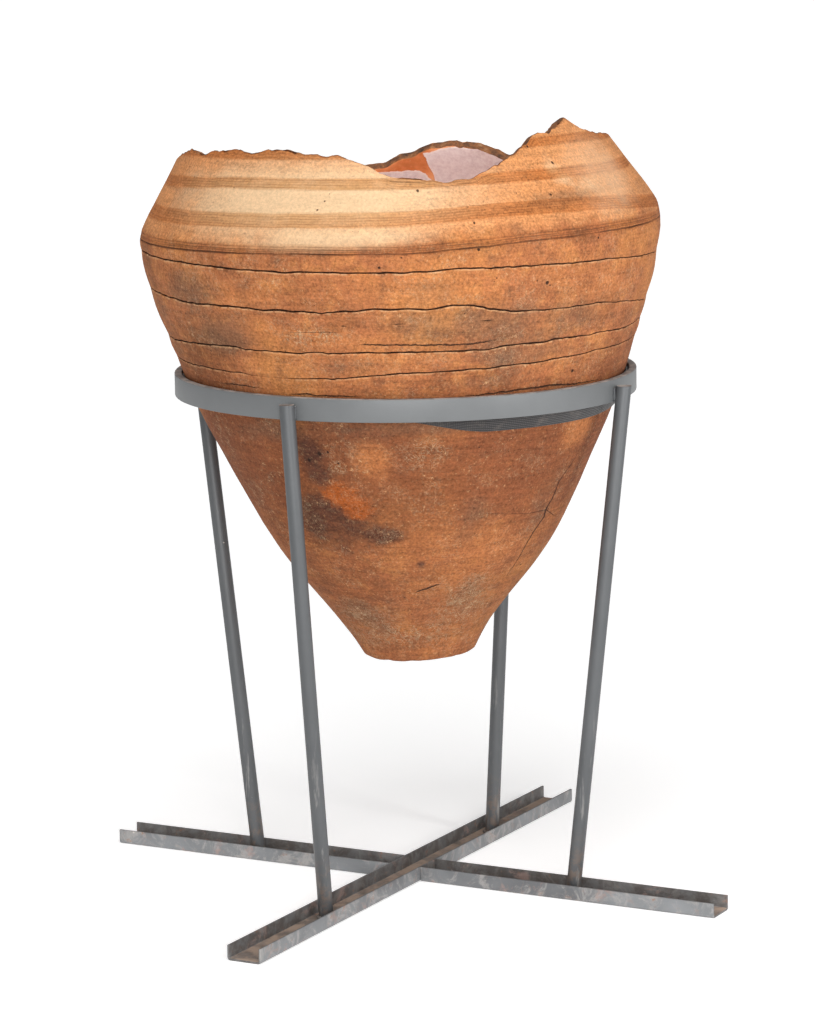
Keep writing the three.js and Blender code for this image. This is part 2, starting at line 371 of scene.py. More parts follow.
# %% Guide lines
# Each line: level height when thrown, half width that keeps its shape, and (azimuth, height) points
GUIDES = {
    "joint_low": (34, 4, [(-172, 41), (-147, 38), (-133, 35), (-125, 32), (-109, 30), (-92, 34),
                          (-80, 33), (-62, 32), (-36, 33), (-12, 32)]),
    "joint_second": (63, 4, [(-171, 69), (-138, 72), (-126, 69), (-115, 66), (-99, 64), (-92, 63),
                             (-73, 58), (-63, 59), (-50, 59), (-25, 54)]),
    "joint_third": (115, 4, [(-167, 136), (-147, 129), (-138, 128), (-120, 124), (-109, 120),
                             (-100, 120), (-97, 123), (-91, 120), (-85, 118), (-79, 121), (-75, 119),
                             (-71, 112), (-66, 105), (-53, 100), (-41, 99), (-12, 82)]),
    "joint_top": (168, 4, [(-168, 187), (-136, 181), (-121, 176), (-114, 173), (-103, 171),
                           (-90, 168), (-78, 168), (-62, 162), (-47, 158), (-10, 145)]),
    "scored": (200, 6, [(-168, 206), (-131, 204), (-112, 201), (-88, 196), (-62, 199), (-12, 195)]),
    "comb_low": (234, 8, [(-170, 240), (-127, 238), (-104, 236), (-87, 234), (-69, 236), (-44, 231),
                          (-4, 210), (20, 226)]),
    "comb_high": (278, 6, [(-170, 279), (-134, 284), (-115, 282), (-86, 276), (-47, 272),
                           (-15, 267)]),
    "break": (312, 4, [(-161, 320), (-154, 317), (-149, 316), (-146, 322), (-135, 324), (-130, 320),
                       (-123, 322), (-119, 325), (-115, 320), (-107, 313), (-104, 314), (-100, 309),
                       (-96, 300), (-94, 293), (-91, 285), (-86, 282), (-80, 277), (-77, 274),
                       (-70, 278), (-65, 286), (-61.5, 292), (-58, 300), (-53, 311), (-46, 322),
                       (-42, 320), (-36, 331), (-31, 337), (-26, 320), (-18, 309), (-7, 305),
                       (25, 285), (59, 259), (61, 265), (63, 272), (66, 280), (69.5, 280), (75, 283),
                       (80.5, 279), (84, 272), (88, 266), (90, 262), (93.5, 257), (98, 253),
                       (130, 250), (165, 290)]),
}
JOINTS = ["joint_low", "joint_second", "joint_third", "joint_top"]
# One more combed band, of which the break has left only parts
TOP_COMB = [(-150, 319), (-120, 317), (-47, 312.4), (-39, 312), (-19, 308), (-8, 305), (20, 300)]
# How far each joint has opened, from 0 to about 1, along the same azimuths
OPENINGS = {
    "joint_low": [(-172, 0.7), (-134, 0.6), (-129, 0.05), (-122, 0.1), (-112, 0.7), (-70, 0.9),
                  (-36, 0.6), (0, 0.2), (90, 0.5)],
    "joint_second": [(-170, 0.8), (-120, 0.9), (-80, 0.9), (-55, 1.0), (-25, 0.6), (60, 0.4)],
    "joint_third": [(-167, 0.9), (-120, 1.15), (-80, 1.1), (-66, 0.9), (-40, 0.6), (-12, 0.4),
                    (90, 0.7)],
    "joint_top": [(-168, 1.0), (-110, 1.1), (-60, 1.0), (-35, 0.6), (-10, 0.4), (90, 0.8)],
}


def round_line(points, azimuth):
    """The height of a line at an azimuth. It closes on itself round the back."""
    places, heights = np.array(points, float).T
    return np.interp(azimuth, places, heights, period=360)


def lumps(azimuth, height, cells_round, tall, seed):
    """Smooth random swells from -1 to 1, with so many round the jar, and so many mm tall."""
    rows = int(900 / tall) + 3
    values = np.random.default_rng(seed).uniform(-1, 1, (rows, cells_round))
    across = np.asarray(azimuth) / 360 % 1 * cells_round
    up = np.clip((np.asarray(height) + 420) / tall, 0, rows - 2)
    i, j = across.astype(int) % cells_round, up.astype(int)
    s, t = across % 1, up % 1
    s, t = s * s * (3 - 2 * s), t * t * (3 - 2 * t)
    k = (i + 1) % cells_round
    low = values[j, i] * (1 - s) + values[j, k] * s
    high = values[j + 1, i] * (1 - s) + values[j + 1, k] * s
    return low * (1 - t) + high * t


def guide_heights(azimuth):
    """Every guide line's height at an azimuth, none nearer to the one above than both keep."""
    names = list(GUIDES)
    tremble = {"break": 1.6, "comb_low": 0.4, "comb_high": 0.4, "scored": 0.5}
    heights = {}
    above = None
    for name in reversed(names):
        level, half, points = GUIDES[name]
        shake = tremble.get(name, 0.9)
        line = round_line(points, azimuth)
        line = line + shake * lumps(azimuth, 0 * azimuth + level, 97, 60, 3)
        line = line + 0.7 * shake * lumps(azimuth, 0 * azimuth + level, 263, 60, 4)
        if above:
            line = np.minimum(line, heights[above] - GUIDES[above][1] - half - 2)
        heights[name] = line
        above = name
    return heights


print(len(GUIDES), "guide lines, of which", len(JOINTS), "are open joints")

# %% [markdown]
# ## Throwing the jar
#
# A pot from a wheel is an outline that turns round an axis. So one point is extruded again and
# again along the outline of the wall: from the middle of the underside, up the outside, over the
# break and down the inside to the middle of the floor. The Spin operator then turns that outline
# into the jar. The rows stand close at each joint and comb line, where the detail is, and far apart
# elsewhere, which keeps the jar under 200,000 triangles.

# %% Rows of the outline
ROUND_STEPS = 540
JOINT_ROWS = [(-4, 0), (-1.5, 0), (-0.5, 4), (0.5, 4), (1.3, 0), (4, 0)]
SCORED_ROWS = [(-6, 0), (-4.8, 1.5), (-3.6, 0), (-1.8, 0), (-0.6, 0.9), (0.6, 0), (2.4, 0),
               (3.6, 0.7), (4.8, 0), (6, 0)]
COMB_LOW_ROWS = [(x, 0.35 if x % 4 == 2 else 0) for x in range(-8, 9, 2)]
COMB_HIGH_ROWS = [(x, 0.35 if x % 4 == 0 else 0) for x in range(-6, 7, 2)]
BREAK_ROWS = [(-4, 0), (-1.5, 0), (0, 0)]
GUIDE_ROWS = {"scored": SCORED_ROWS, "comb_low": COMB_LOW_ROWS, "comb_high": COMB_HIGH_ROWS,
              "break": BREAK_ROWS}
LOWER_STEP = 9.6
UPPER_STEP = 8.5
BREAK_SLANT = 7
BREAK_LEVEL = GUIDES["break"][0]
UNDER, OUTSIDE, FACE, INSIDE = range(4)


def outline_rows():
    """The outline as (kind of surface, radius, height, groove depth), from pole to pole."""
    rows = [(UNDER, radius, FOOT_HEIGHT, 0) for radius in (0, 20, 40, 58, 68, 73.5)]
    height = FOOT_HEIGHT + 2.5
    for name, (level, half, _) in GUIDES.items():
        step = LOWER_STEP if name == "joint_low" else UPPER_STEP
        gap = level - half - height
        count = max(1, round(gap / step))
        for i in range(count):
            between_guides = height + gap * i / count
            rows.append((OUTSIDE, wall_radius(between_guides), between_guides, 0))
        line_rows = GUIDE_ROWS.get(name, JOINT_ROWS)
        for offset, depth in line_rows if name == "break" else line_rows[:-1]:
            rows.append((OUTSIDE, wall_radius(level + offset), level + offset, depth))
        height = level + half
    inner_level = BREAK_LEVEL - BREAK_SLANT
    for part in (0.08, 0.36, 0.66, 0.92):
        radius = (1 - part) * wall_radius(BREAK_LEVEL) + part * inner_radius(inner_level)
        rows.append((FACE, radius, BREAK_LEVEL - BREAK_SLANT * part, 0))
    floor = FOOT_HEIGHT + FLOOR_THICKNESS
    inner_heights = [inner_level, inner_level - 5, *np.linspace(285, floor + 12, 34)]
    rows += [(INSIDE, inner_radius(h), h, 0) for h in inner_heights]
    rows += [(INSIDE, radius, floor, 0) for radius in (FLOOR_HOLLOW_RADIUS, 30, 15, 0)]
    return rows


rows = outline_rows()
print(len(rows), "rows and", ROUND_STEPS, "steps:", 2 * ROUND_STEPS * (len(rows) - 2), "triangles")

# %% [markdown]
# A potter turns the wall on a wheel, and the Spin operator does the same with a row of points. One
# point is set at the middle of the floor inside, extruded from row to row of the list, and spun once
# round. Where the spin meets its own start, the double points are merged.

# %% Turn the outline
SEAM_AZIMUTH = 90

only()
bpy.ops.mesh.primitive_plane_add(size=MM)
jar = named("jar")
bpy.ops.object.mode_set(mode="EDIT")
bpy.ops.mesh.select_all(action="SELECT")
bpy.ops.mesh.merge(type="CENTER")
bpy.ops.transform.translate(value=(0, rows[0][1] * MM, rows[0][2] * MM))
for (_, radius, height, _), (_, next_radius, next_height, _) in zip(rows, rows[1:]):
    step = (0, (next_radius - radius) * MM, (next_height - height) * MM)
    bpy.ops.mesh.extrude_vertices_move(TRANSFORM_OT_translate={"value": step})
bpy.ops.mesh.select_all(action="SELECT")
bpy.ops.mesh.spin(steps=ROUND_STEPS, angle=math.tau, center=(0, 0, 0), axis=(0, 0, 1))
bpy.ops.mesh.select_all(action="SELECT")
bpy.ops.mesh.remove_doubles(threshold=0.03 * MM)
bpy.ops.mesh.normals_make_consistent(inside=False)
bpy.ops.object.mode_set(mode="OBJECT")
print("the thrown jar has", len(jar.data.vertices), "points and", len(jar.data.polygons), "faces")

# %% [markdown]
# ## A map of the surface
#
# Before the rows are lifted, each point still lies level, so its azimuth and its level height make a
# perfect map of the jar: one turn across, and metres upwards. It is kept as the jar's UV map. In
# that map every joint and band stays a straight line, which makes them easy to paint.

# %% Map and surface numbers
level_points = points_of(jar) / MM
radius = np.hypot(level_points[:, 0], level_points[:, 1])
level_height = level_points[:, 2]
azimuth = np.degrees(np.arctan2(level_points[:, 1], level_points[:, 0]))
row_table = np.array([(r, h) for _, r, h, _ in rows])
row_of = np.empty(len(level_points), int)
for start in range(0, len(level_points), 4096):
    part = slice(start, start + 4096)
    row_of[part] = np.hypot(radius[part, None] - row_table[:, 0],
                            level_height[part, None] - row_table[:, 1]).argmin(axis=1)
kind = np.array([row[0] for row in rows])[row_of]
groove = np.array([row[3] for row in rows])[row_of]
on_axis = radius < 1

turn = (azimuth - SEAM_AZIMUTH) / 360 % 1
corner_point = np.zeros(len(jar.data.loops), int)
jar.data.loops.foreach_get("vertex_index", corner_point)
corner_turn = turn[corner_point]
starts = np.zeros(len(jar.data.polygons), int)
counts = np.zeros(len(jar.data.polygons), int)
jar.data.polygons.foreach_get("loop_start", starts)
jar.data.polygons.foreach_get("loop_total", counts)
face_of_corner = np.repeat(np.arange(len(starts)), counts)
highest = np.maximum.reduceat(corner_turn, starts)
corner_turn = np.where(highest[face_of_corner] - corner_turn > 0.5, corner_turn + 1, corner_turn)
map_points = np.stack([corner_turn, (level_height[corner_point] - FOOT_HEIGHT) * MM], axis=1)
course_map = jar.data.uv_layers.new(name="courses")
course_map.data.foreach_set("uv", map_points.ravel())
print("map: one turn across and", round(map_points[:, 1].max(), 3), "m high")

# %% [markdown]
# ## Lifting the rows
#
# Between two guide lines, the rows share out the distance. Near a line they keep their true
# distance from it, so that a joint is as wide as it was made.

# %% Lift the rows to the guide lines
guides_here = guide_heights(azimuth)
opening = np.zeros(len(azimuth))
height = level_height.copy()
knots = [(FOOT_HEIGHT, np.full(len(azimuth), float(FOOT_HEIGHT)))]
for name, (level, half, _) in GUIDES.items():
    line = guides_here[name]
    knots.append((level - half, line - half))
    knots.append((level + half, line + half) if name != "break" else (level, line))
for (low, low_line), (high, high_line) in zip(knots, knots[1:]):
    inside_step = (kind == OUTSIDE) & (level_height >= low) & (level_height <= high)
    part = (level_height - low) / (high - low)
    lifted = low_line + part * (high_line - low_line)
    height = np.where(inside_step, lifted, height)
for name in JOINTS:
    level, half, _ = GUIDES[name]
    near = (kind == OUTSIDE) & (np.abs(level_height - level) <= half)
    flutter = 0.85 + 0.35 * lumps(azimuth, 0 * azimuth + level, 150, 60, 8)
    width = np.clip(round_line(OPENINGS[name], azimuth) * flutter, 0.04, 1.3)
    opening = np.where(near, width, opening)
    offset = level_height - level
    squeeze = np.where(np.abs(offset) < 2, offset * (0.3 + 0.7 * width), offset)
    height = np.where(near, guides_here[name] + squeeze, height)
break_line = guides_here["break"]
shoulder = 226
inner_rest = BREAK_LEVEL - BREAK_SLANT
above_shoulder = (kind == INSIDE) & (level_height > shoulder)
lifted = shoulder + (level_height - shoulder) / (inner_rest - shoulder) * (
    break_line - BREAK_SLANT - shoulder)
height = np.where(above_shoulder, lifted, height)
print("break line from", round(break_line.min()), "to", round(break_line.max()), "mm")

# %% [markdown]
# ## Relief by hand
#
# The wall isn't true like a machined part: it swells a little within each coil, it is dented by
# hands and paddles, the joints are open grooves, the comb left fine furrows and the break is rough.
# All of that is added to the radius, in millimetres. Where the webbing and the hoop touch the jar,
# nothing may stand proud.

# %% Relief
true_radius = np.where(kind == INSIDE, inner_radius(height), wall_radius(height))
swell = 1.0 * lumps(azimuth, height, 7, 150, 11) + 0.6 * lumps(azimuth, height, 21, 48, 12)
dents = 0.28 * lumps(azimuth, height, 90, 17, 13)
coil = np.zeros(len(azimuth))
lines = [guides_here[name] for name in JOINTS] + [guides_here["scored"]]
for low_line, high_line in zip(lines, lines[1:]):
    part = np.clip((height - low_line) / (high_line - low_line), 0, 1)
    coil += 1.3 * np.sin(np.pi * part)
foot_truth = np.clip((height - FOOT_HEIGHT) / 60, 0.15, 1)
relief = (swell + dents) * foot_truth + np.where(kind == OUTSIDE, coil, 0)
seat = np.clip(1 - (np.abs(height + 28) - 36) / 20, 0, 1)
relief = np.where(kind == OUTSIDE, relief * (1 - seat) + np.minimum(relief, 0) * seat, relief)
comb_wear = np.clip(0.75 + 0.7 * lumps(azimuth, height, 40, 90, 15), 0.15, 1)
comb_line = round_line(GUIDES["comb_high"][2], azimuth)
cut_away = (comb_line - guides_here["comb_high"]) / 4
comb_wear = np.where(level_height > 262, comb_wear * np.clip(1 - cut_away, 0, 1), comb_wear)
is_joint = opening > 0
cut = groove * np.where(is_joint, np.clip(opening, 0.1, 1.2), comb_wear)
relief = relief - np.where(kind == OUTSIDE, cut, 0)
throwing_rings = 0.9 * np.sin(height / 3.1 + 1.5 * lumps(azimuth, height, 5, 90, 16))
relief = relief + np.where(kind == INSIDE, 0.6 * throwing_rings, 0)
new_radius = true_radius + relief

spall = np.clip(lumps(azimuth, 0 * azimuth, 120, 60, 21) * 1.6 - 0.5, 0, 1)
near_edge = (kind == OUTSIDE) & (level_height > BREAK_LEVEL - 2)
height = height - np.where(near_edge & (level_height > BREAK_LEVEL - 1), 3.2 * spall, 0)
new_radius = new_radius - np.where(near_edge & (level_height > BREAK_LEVEL - 1), 1.2 + 2.4 * spall, 0)

face_rows = [i for i, row in enumerate(rows) if row[0] == FACE]
face_part = np.zeros(len(azimuth))
for part, row in zip((0.08, 0.36, 0.66, 0.92), face_rows):
    face_part[row_of == row] = part
on_face = kind == FACE
inner_edge = inner_radius(break_line - BREAK_SLANT)
across = (1 - face_part) * wall_radius(break_line) + face_part * inner_edge
rough = 1.6 * lumps(azimuth + 40 * face_part, 60 * face_part, 200, 30, 22)
drop = BREAK_SLANT * face_part - 1.5 * np.sin(np.pi * face_part) + rough
new_radius = np.where(on_face, across + 0.6 * rough, new_radius)
height = np.where(on_face, break_line - drop, height)

foot_edge = (level_height < FOOT_HEIGHT + 4) & (radius > 60) & (kind != INSIDE)
chips = np.clip(lumps(azimuth, 0 * azimuth, 46, 60, 31), 0, 1)
height = height + np.where(foot_edge & (kind == UNDER), 0.35 * chips, 0)
new_radius = new_radius + np.where(kind == UNDER, radius - wall_radius(FOOT_HEIGHT), 0)
new_radius = new_radius - np.where(foot_edge & (kind == UNDER), 0.5 * chips, 0)
flat = on_axis | ((kind == INSIDE) & (radius < FLOOR_HOLLOW_RADIUS + 2))
new_radius = np.where(flat | ((kind == UNDER) & ~foot_edge), radius, new_radius)
height = height + np.where((kind == UNDER) & (radius < 60), 3 * (1 - (radius / 60) ** 2), 0)
height = np.where((kind == UNDER) & ~on_axis, height + 0.5 * lumps(azimuth, radius, 40, 12, 32), height)
print("relief from", round(relief.min(), 1), "to", round(relief.max(), 1), "mm")

# %% [markdown]
# ## Setting the jar in the hoop
#
# The jar's middle line bows a little, except in its foot, and the jar leans to its left in the hoop.
# Its points are written straight at that place, so the object itself stays at the origin.

# %% Place


def bow(height):
    """How far the middle line has bent aside at a height, in mm."""
    return -JAR_BOW * (np.maximum(height, -JAR_BOW_SPAN) / JAR_BOW_SPAN) ** 4


angle = np.radians(azimuth)
jar_points = np.stack([bow(height) + new_radius * np.cos(angle), new_radius * np.sin(angle), height],
                      axis=1)
move_points(jar, jar_points * MM)
jar_place = (
    Matrix.Translation(Vector((JAR_SHIFT * math.cos(JAR_TURN), JAR_SHIFT * math.sin(JAR_TURN),
                               HOOP_TOP)) * MM)
    @ Matrix.Rotation(JAR_TURN, 4, "Z")
    @ Matrix.Rotation(-JAR_LEAN, 4, "Y")
)
jar.data.transform(jar_place)
jar.data.update()
only(jar)
bpy.ops.object.shade_smooth_by_angle(angle=math.radians(50))
print("jar stands from", round(min(v.co.z for v in jar.data.vertices), 4), "m")

# %% [markdown]
# ## Where the jar is stained
#
# Firing, burial and water left their marks: a pale bloom on the shoulder with a film of dust right
# of it, grey fire clouds, dark soot with one bright orange spot, and threads of lime. One grey patch,
# laid with the fire clouds just under the hoop at the front, is a painted shadow of the hoop. Each
# mark is a soft patch at a place on the jar. The materials later break the patches up with noise, so
# that their edges look natural.

# %% Stains
# Each patch: azimuth, height, half width and half height in mm, strength
STAINS = {
    "bloom": [(-111, 262, 210, 46, 0.75), (-98, 258, 80, 40, 0.7), (-79, 250, 60, 26, 0.2),
              (-104, 214, 120, 14, 0.7), (-74, 222, 60, 12, 0.2), (-48, 280, 14, 10, 0.45),
              (-46, 264, 20, 8, 0.4), (-39, 252, 30, 9, 0.35), (60, 240, 200, 50, 0.4)],
    "dust": [(-30, 266, 70, 44, 0.72), (-42, 292, 40, 20, 0.25), (-36, 222, 50, 16, 0.4)],
    "smoke_and_hoop_shadow": [(-144, 146, 60, 26, 0.8), (-136, 88, 60, 28, 0.85), (-150, 255, 70, 50, 0.35),
              (-86, 98, 70, 22, 0.6), (-70, 92, 90, 28, 0.75), (-48, 88, 60, 24, 0.65),
              (-62, 66, 110, 20, 0.6), (-60, 44, 90, 14, 0.6),
              # The patch at azimuth -85, 40 mm under the hoop's top edge, is a painted shadow of the
              # hoop, not smoke
              (-128, -44, 90, 18, 0.7), (-85, -40, 170, 14, 0.75), (-152, -90, 50, 70, 0.3),
              (-104, 44, 60, 10, 0.5), (-73, 14, 60, 9, 0.5), (-50, 240, 90, 12, 0.55),
              (-70, 196, 60, 14, 0.35), (-20, 225, 80, 20, 0.3), (-101, -50, 50, 20, 0.4),
              (-83, 140, 40, 18, 0.5), (-62, 88, 44, 14, 0.45),
              (-70, -166, 22, 26, 0.6), (-72, -200, 16, 16, 0.5), (-127, -320, 50, 30, 0.6),
              (-62, -300, 40, 34, 0.5), (-40, -170, 30, 60, 0.4), (120, 60, 150, 60, 0.5),
              (40, -180, 90, 60, 0.5), (170, -120, 110, 50, 0.5)],
    "soot": [(-119, -72, 20, 30, 0.85), (-119, -98, 24, 30, 0.75), (-119, -170, 66, 46, 0.75),
             (-115, -193, 30, 16, 0.7), (-103, -194, 34, 13, 0.95), (-132, -150, 40, 40, 0.5),
             (-100, -46, 60, 12, 0.4), (-89, -238, 6, 5, 0.9)],
    "ember": [(-113.5, -134, 26, 17, 1.0), (-109, -153, 22, 16, 0.9)],
    "lime": [(-110, 88, 60, 14, 0.8), (-123, 160, 80, 18, 0.45), (-76, 128, 30, 7, 0.7),
             (-66, 74, 70, 20, 0.45), (-88, -82, 44, 30, 0.65), (-112, -94, 14, 10, 0.9),
             (-62, -310, 50, 44, 0.9), (-105, -350, 120, 24, 0.8), (-76, -290, 50, 24, 0.5),
             (-127, -330, 70, 40, 0.6), (-100, 196, 200, 8, 0.5), (-39, 250, 40, 14, 0.5),
             (30, -330, 160, 50, 0.6), (150, -340, 160, 50, 0.6), (60, 100, 200, 40, 0.4)],
    "tan": [(-101, -84, 26, 30, 0.75), (-92, 150, 200, 30, 0.35), (-35, -76, 36, 26, 0.85),
            (-84, 132, 130, 18, 0.35), (-41, 117, 60, 30, 0.5), (-84, -215, 90, 40, 0.3),
            (-60, -230, 60, 40, 0.5), (-110, 62, 60, 12, 0.4), (-127, 138, 50, 16, 0.7),
            (-107, 86, 40, 14, 0.7), (-127, 92, 50, 14, 0.5)],
}
outside = (kind != INSIDE).astype(float)
for stain, patches in STAINS.items():
    amount = np.zeros(len(azimuth))
    for at, up, half_wide, half_tall, strength in patches:
        swing = (azimuth - at + 180) % 360 - 180
        sideways = np.radians(swing) * new_radius / half_wide
        far = np.hypot(sideways, (height - up) / half_tall)
        amount = np.maximum(amount, strength * np.clip(1.35 - 0.85 * far, 0, 1))
    share(jar, stain, amount * outside)

# A painted highlight: a pale line on the row just under each open joint, where the lower coil's edge
# catches the light
lip_highlight = np.zeros(len(azimuth))
for name in JOINTS:
    lip_highlight = np.where(np.abs(level_height - (GUIDES[name][0] - 1.5)) < 0.3, 1, lip_highlight)
share(jar, "lip", lip_highlight * np.clip(opening, 0, 1))
share(jar, "groove", np.where(is_joint, np.clip(groove / 4 * (0.3 + opening), 0, 1), 0) * outside)
share(jar, "fracture", on_face.astype(float))
share(jar, "height", height)
share(jar, "from_high_comb", height - comb_line)
share(jar, "from_top_comb", height - round_line(TOP_COMB, azimuth))
print("stains:", list(STAINS))

# %% [markdown]
# ## Fired clay
#
# The outside is low-fired earthenware without glaze. It is matt and open-grained, so it has almost
# no shine, and its colour changes with the heat that each place got. The recipe: broad and fine
# mottling for the clay, a darker and redder lower body that is partly painted shade, darkest just
# under the hoop, then the stains one over the other, and last the fine streaks that wiping left and
# the sand grains. Each of these is weak on its own.

# %% Fired clay
clay, tree, shader = new_material("fired_earthenware", 0.92)
shader.inputs["Specular IOR Level"].default_value = 0.2
height_here = node(tree, "Attribute", attribute_name="height", output=2)
broad = grain(tree, 170, 4, 0.6)
patchy = grain(tree, 34, 6, 0.68, seed=3)
cloud = grain(tree, 46, 7, 0.7, seed=7)
fleck = grain(tree, 11, 6, 0.75, seed=9)
speckle = grain(tree, 5, 5, 0.8, seed=11)
body = node(tree, "ValToRGB", broad,
            stops=[(0.34, "#845333"), (0.47, "#9b6140"), (0.58, "#a56a42"), (0.7, "#b07647")])
body = node(tree, "Mix",
            node(tree, "MapRange", patchy, 0.5, 0.7, 0, 0.65, interpolation_type="SMOOTHSTEP"), body,
            "#714a35", data_type="RGBA")
body = node(tree, "Mix",
            node(tree, "MapRange", patchy, 0.5, 0.32, 0, 0.65, interpolation_type="SMOOTHSTEP"), body,
            "#b97c4c", data_type="RGBA")
# A darker, redder lower body: partly the clay itself, partly painted shade for the hoop's shadow and the
# lesser light low down. It sets in under the hoop, is strongest from about 60 to 130 mm below the hoop's
# top edge, and fades to half strength towards the foot.
ragged_height = node(tree, "Math", broad, 300, height_here, operation="MULTIPLY_ADD")
lower_body_and_hoop_shade = node(tree, "Math",
                node(tree, "MapRange", ragged_height, 210, 90, 0, 0.8, interpolation_type="SMOOTHSTEP"),
                node(tree, "MapRange", height_here, -240, -130, 0.5, 1, interpolation_type="SMOOTHSTEP"),
                operation="MULTIPLY")
body = node(tree, "Mix", lower_body_and_hoop_shade, body, "#70402a", data_type="RGBA")
pale_shoulder = node(tree, "MapRange",
                     node(tree, "Math", height_here, node(tree, "Math", cloud, 50, operation="MULTIPLY"),
                          operation="ADD"), 222, 252, 0, 0.7, interpolation_type="SMOOTHSTEP")
body = node(tree, "Mix", pale_shoulder, body, "#cc8f5f", data_type="RGBA")


def stain_mask(name, noise, soft=0.22, spread=0.9, strength=1.0):
    """A stain's patch, with its edge broken up by noise."""
    ragged = node(tree, "Math", noise, spread, -0.5 * spread, operation="MULTIPLY_ADD")
    return node(tree, "MapRange",
                node(tree, "Math", node(tree, "Attribute", attribute_name=name, output=2), ragged,
                     operation="ADD"), 0.5 - soft, 0.5 + soft, 0, strength,
                interpolation_type="SMOOTHSTEP")


body = node(tree, "Mix", stain_mask("tan", cloud, 0.4, 1.0, 0.6), body, "#b9774a", data_type="RGBA")
bloom = stain_mask("bloom", cloud, 0.45, 0.5, 0.65)
body = node(tree, "Mix", bloom, body, "#d8bd99", data_type="RGBA")
# Grey fire clouds, and one painted shadow just under the hoop
body = node(tree, "Mix", stain_mask("smoke_and_hoop_shadow", cloud, 0.4, 1.1, 0.65), body, "#634a3a", data_type="RGBA")
body = node(tree, "Mix", stain_mask("soot", cloud, 0.35, 1.5, 0.85), body, "#452a22", data_type="RGBA")
body = node(tree, "Mix",
            node(tree, "Math", stain_mask("soot", cloud, 0.3, 1.6),
                 node(tree, "MapRange", fleck, 0.56, 0.68, 0, 0.7, interpolation_type="SMOOTHSTEP"),
                 operation="MULTIPLY"), body, "#2c1d19", data_type="RGBA")
body = node(tree, "Mix", stain_mask("ember", fleck, 0.4, 1.6, 0.9), body, "#984f26", data_type="RGBA")

# %% [markdown]
# Every wiped or thrown surface has fine level streaks, and sand grains make it darker and lighter
# from one millimetre to the next. Both only change the brightness. Small dark and pale specks come
# in swarms, not everywhere alike. The bloom is laid on once more above them, because it is smoother.

# %% Streaks, sand and specks
wiping = grain(tree, 24, 5, 0.7, squash=(0.25, 0.25, 5), seed=5)
sandy = grain(tree, 3.4, 3, 0.7, seed=15)
brightness = -0.78
for pattern, amount in ((wiping, 1.0), (sandy, 1.9), (fleck, 0.6)):
    brightness = node(tree, "Math", pattern, amount, brightness, operation="MULTIPLY_ADD")
body = node(tree, "HueSaturation", Value=brightness, Saturation=1.03, Color=body)
busy = node(tree, "MapRange", cloud, 0.38, 0.62, 0.35, 1, interpolation_type="SMOOTHSTEP")
body = node(tree, "Mix",
            node(tree, "Math", busy,
                 node(tree, "MapRange", speckle, 0.57, 0.7, interpolation_type="SMOOTHSTEP"),
                 operation="MULTIPLY"), body, "#5a3826", data_type="RGBA")
body = node(tree, "Mix",
            node(tree, "Math", busy,
                 node(tree, "MapRange", speckle, 0.44, 0.3, 0, 0.8, interpolation_type="SMOOTHSTEP"),
                 operation="MULTIPLY"), body, "#d0a274", data_type="RGBA")
body = node(tree, "Mix", bloom, body, "#d6b892", data_type="RGBA")

# %% [markdown]
# The lime lies as curled threads and specks. The edge of a distorted noise, where it crosses its
# middle value, draws such threads.

# %% Lime and grit
threads = grain(tree, 14, 5, 0.72, seed=13, distortion=2.2)
thread_edge = node(tree, "Math", node(tree, "Math", threads, 0.5, operation="SUBTRACT"),
                   operation="ABSOLUTE")
thread_line = node(tree, "MapRange", thread_edge, 0.035, 0.006, interpolation_type="SMOOTHSTEP")
thin_lime = node(tree, "Math",
                 node(tree, "MapRange", cloud, 0.47, 0.6, 0.05, 0.4, interpolation_type="SMOOTHSTEP"),
                 node(tree, "MapRange", height_here, 230, 190, interpolation_type="SMOOTHSTEP"),
                 operation="MULTIPLY")
lime_here = node(tree, "Math", stain_mask("lime", cloud, 0.35, 1.4), thin_lime, operation="MAXIMUM")
specks = node(tree, "TexVoronoi", node(tree, "TexCoord", output=3), 1 / (9 * MM))
speck_size = node(tree, "MapRange", fleck, 0.45, 0.75, 0.04, 0.3, interpolation_type="SMOOTHSTEP")
speck = node(tree, "MapRange", node(tree, "Math", specks, speck_size, operation="SUBTRACT"), 0.04, -0.04,
             interpolation_type="SMOOTHSTEP")
lime_film = node(tree, "MapRange", speckle, 0.54, 0.66, 0, 0.4, interpolation_type="SMOOTHSTEP")
lime = node(tree, "Math", thread_line, speck, operation="MAXIMUM")
lime = node(tree, "Math", lime, lime_film, operation="MAXIMUM")
lime = node(tree, "Math", lime, lime_here, operation="MULTIPLY")
lime_gaps = node(tree, "MapRange", fleck, 0.4, 0.58, 0.15, 1, interpolation_type="SMOOTHSTEP")
lime = node(tree, "Math", lime, lime_gaps, operation="MULTIPLY")
body = node(tree, "Mix", node(tree, "Math", 0.62, lime, operation="MULTIPLY"), body, "#cdb48f",
            data_type="RGBA")
pits = node(tree, "TexVoronoi", node(tree, "TexCoord", output=3), 1 / (13 * MM))
pit_size = node(tree, "MapRange", grain(tree, 26, 3, 0.6, seed=21), 0.5, 0.7, 0.0, 0.11,
                interpolation_type="SMOOTHSTEP")
pit = node(tree, "MapRange", node(tree, "Math", pits, pit_size, operation="SUBTRACT"), 0.02, -0.02,
           interpolation_type="SMOOTHSTEP")
body = node(tree, "Mix", node(tree, "Math", 0.8, pit, operation="MULTIPLY"), body, "#3c261b",
            data_type="RGBA")

# %% [markdown]
# The combed bands are a little darker and browner than the clay beside them, because the pale bloom
# was combed away and dirt sits in the furrows. A band is a multiplied tint, so it stays right both on
# the pale shoulder and in its shade. The lines scored below them are crisp.

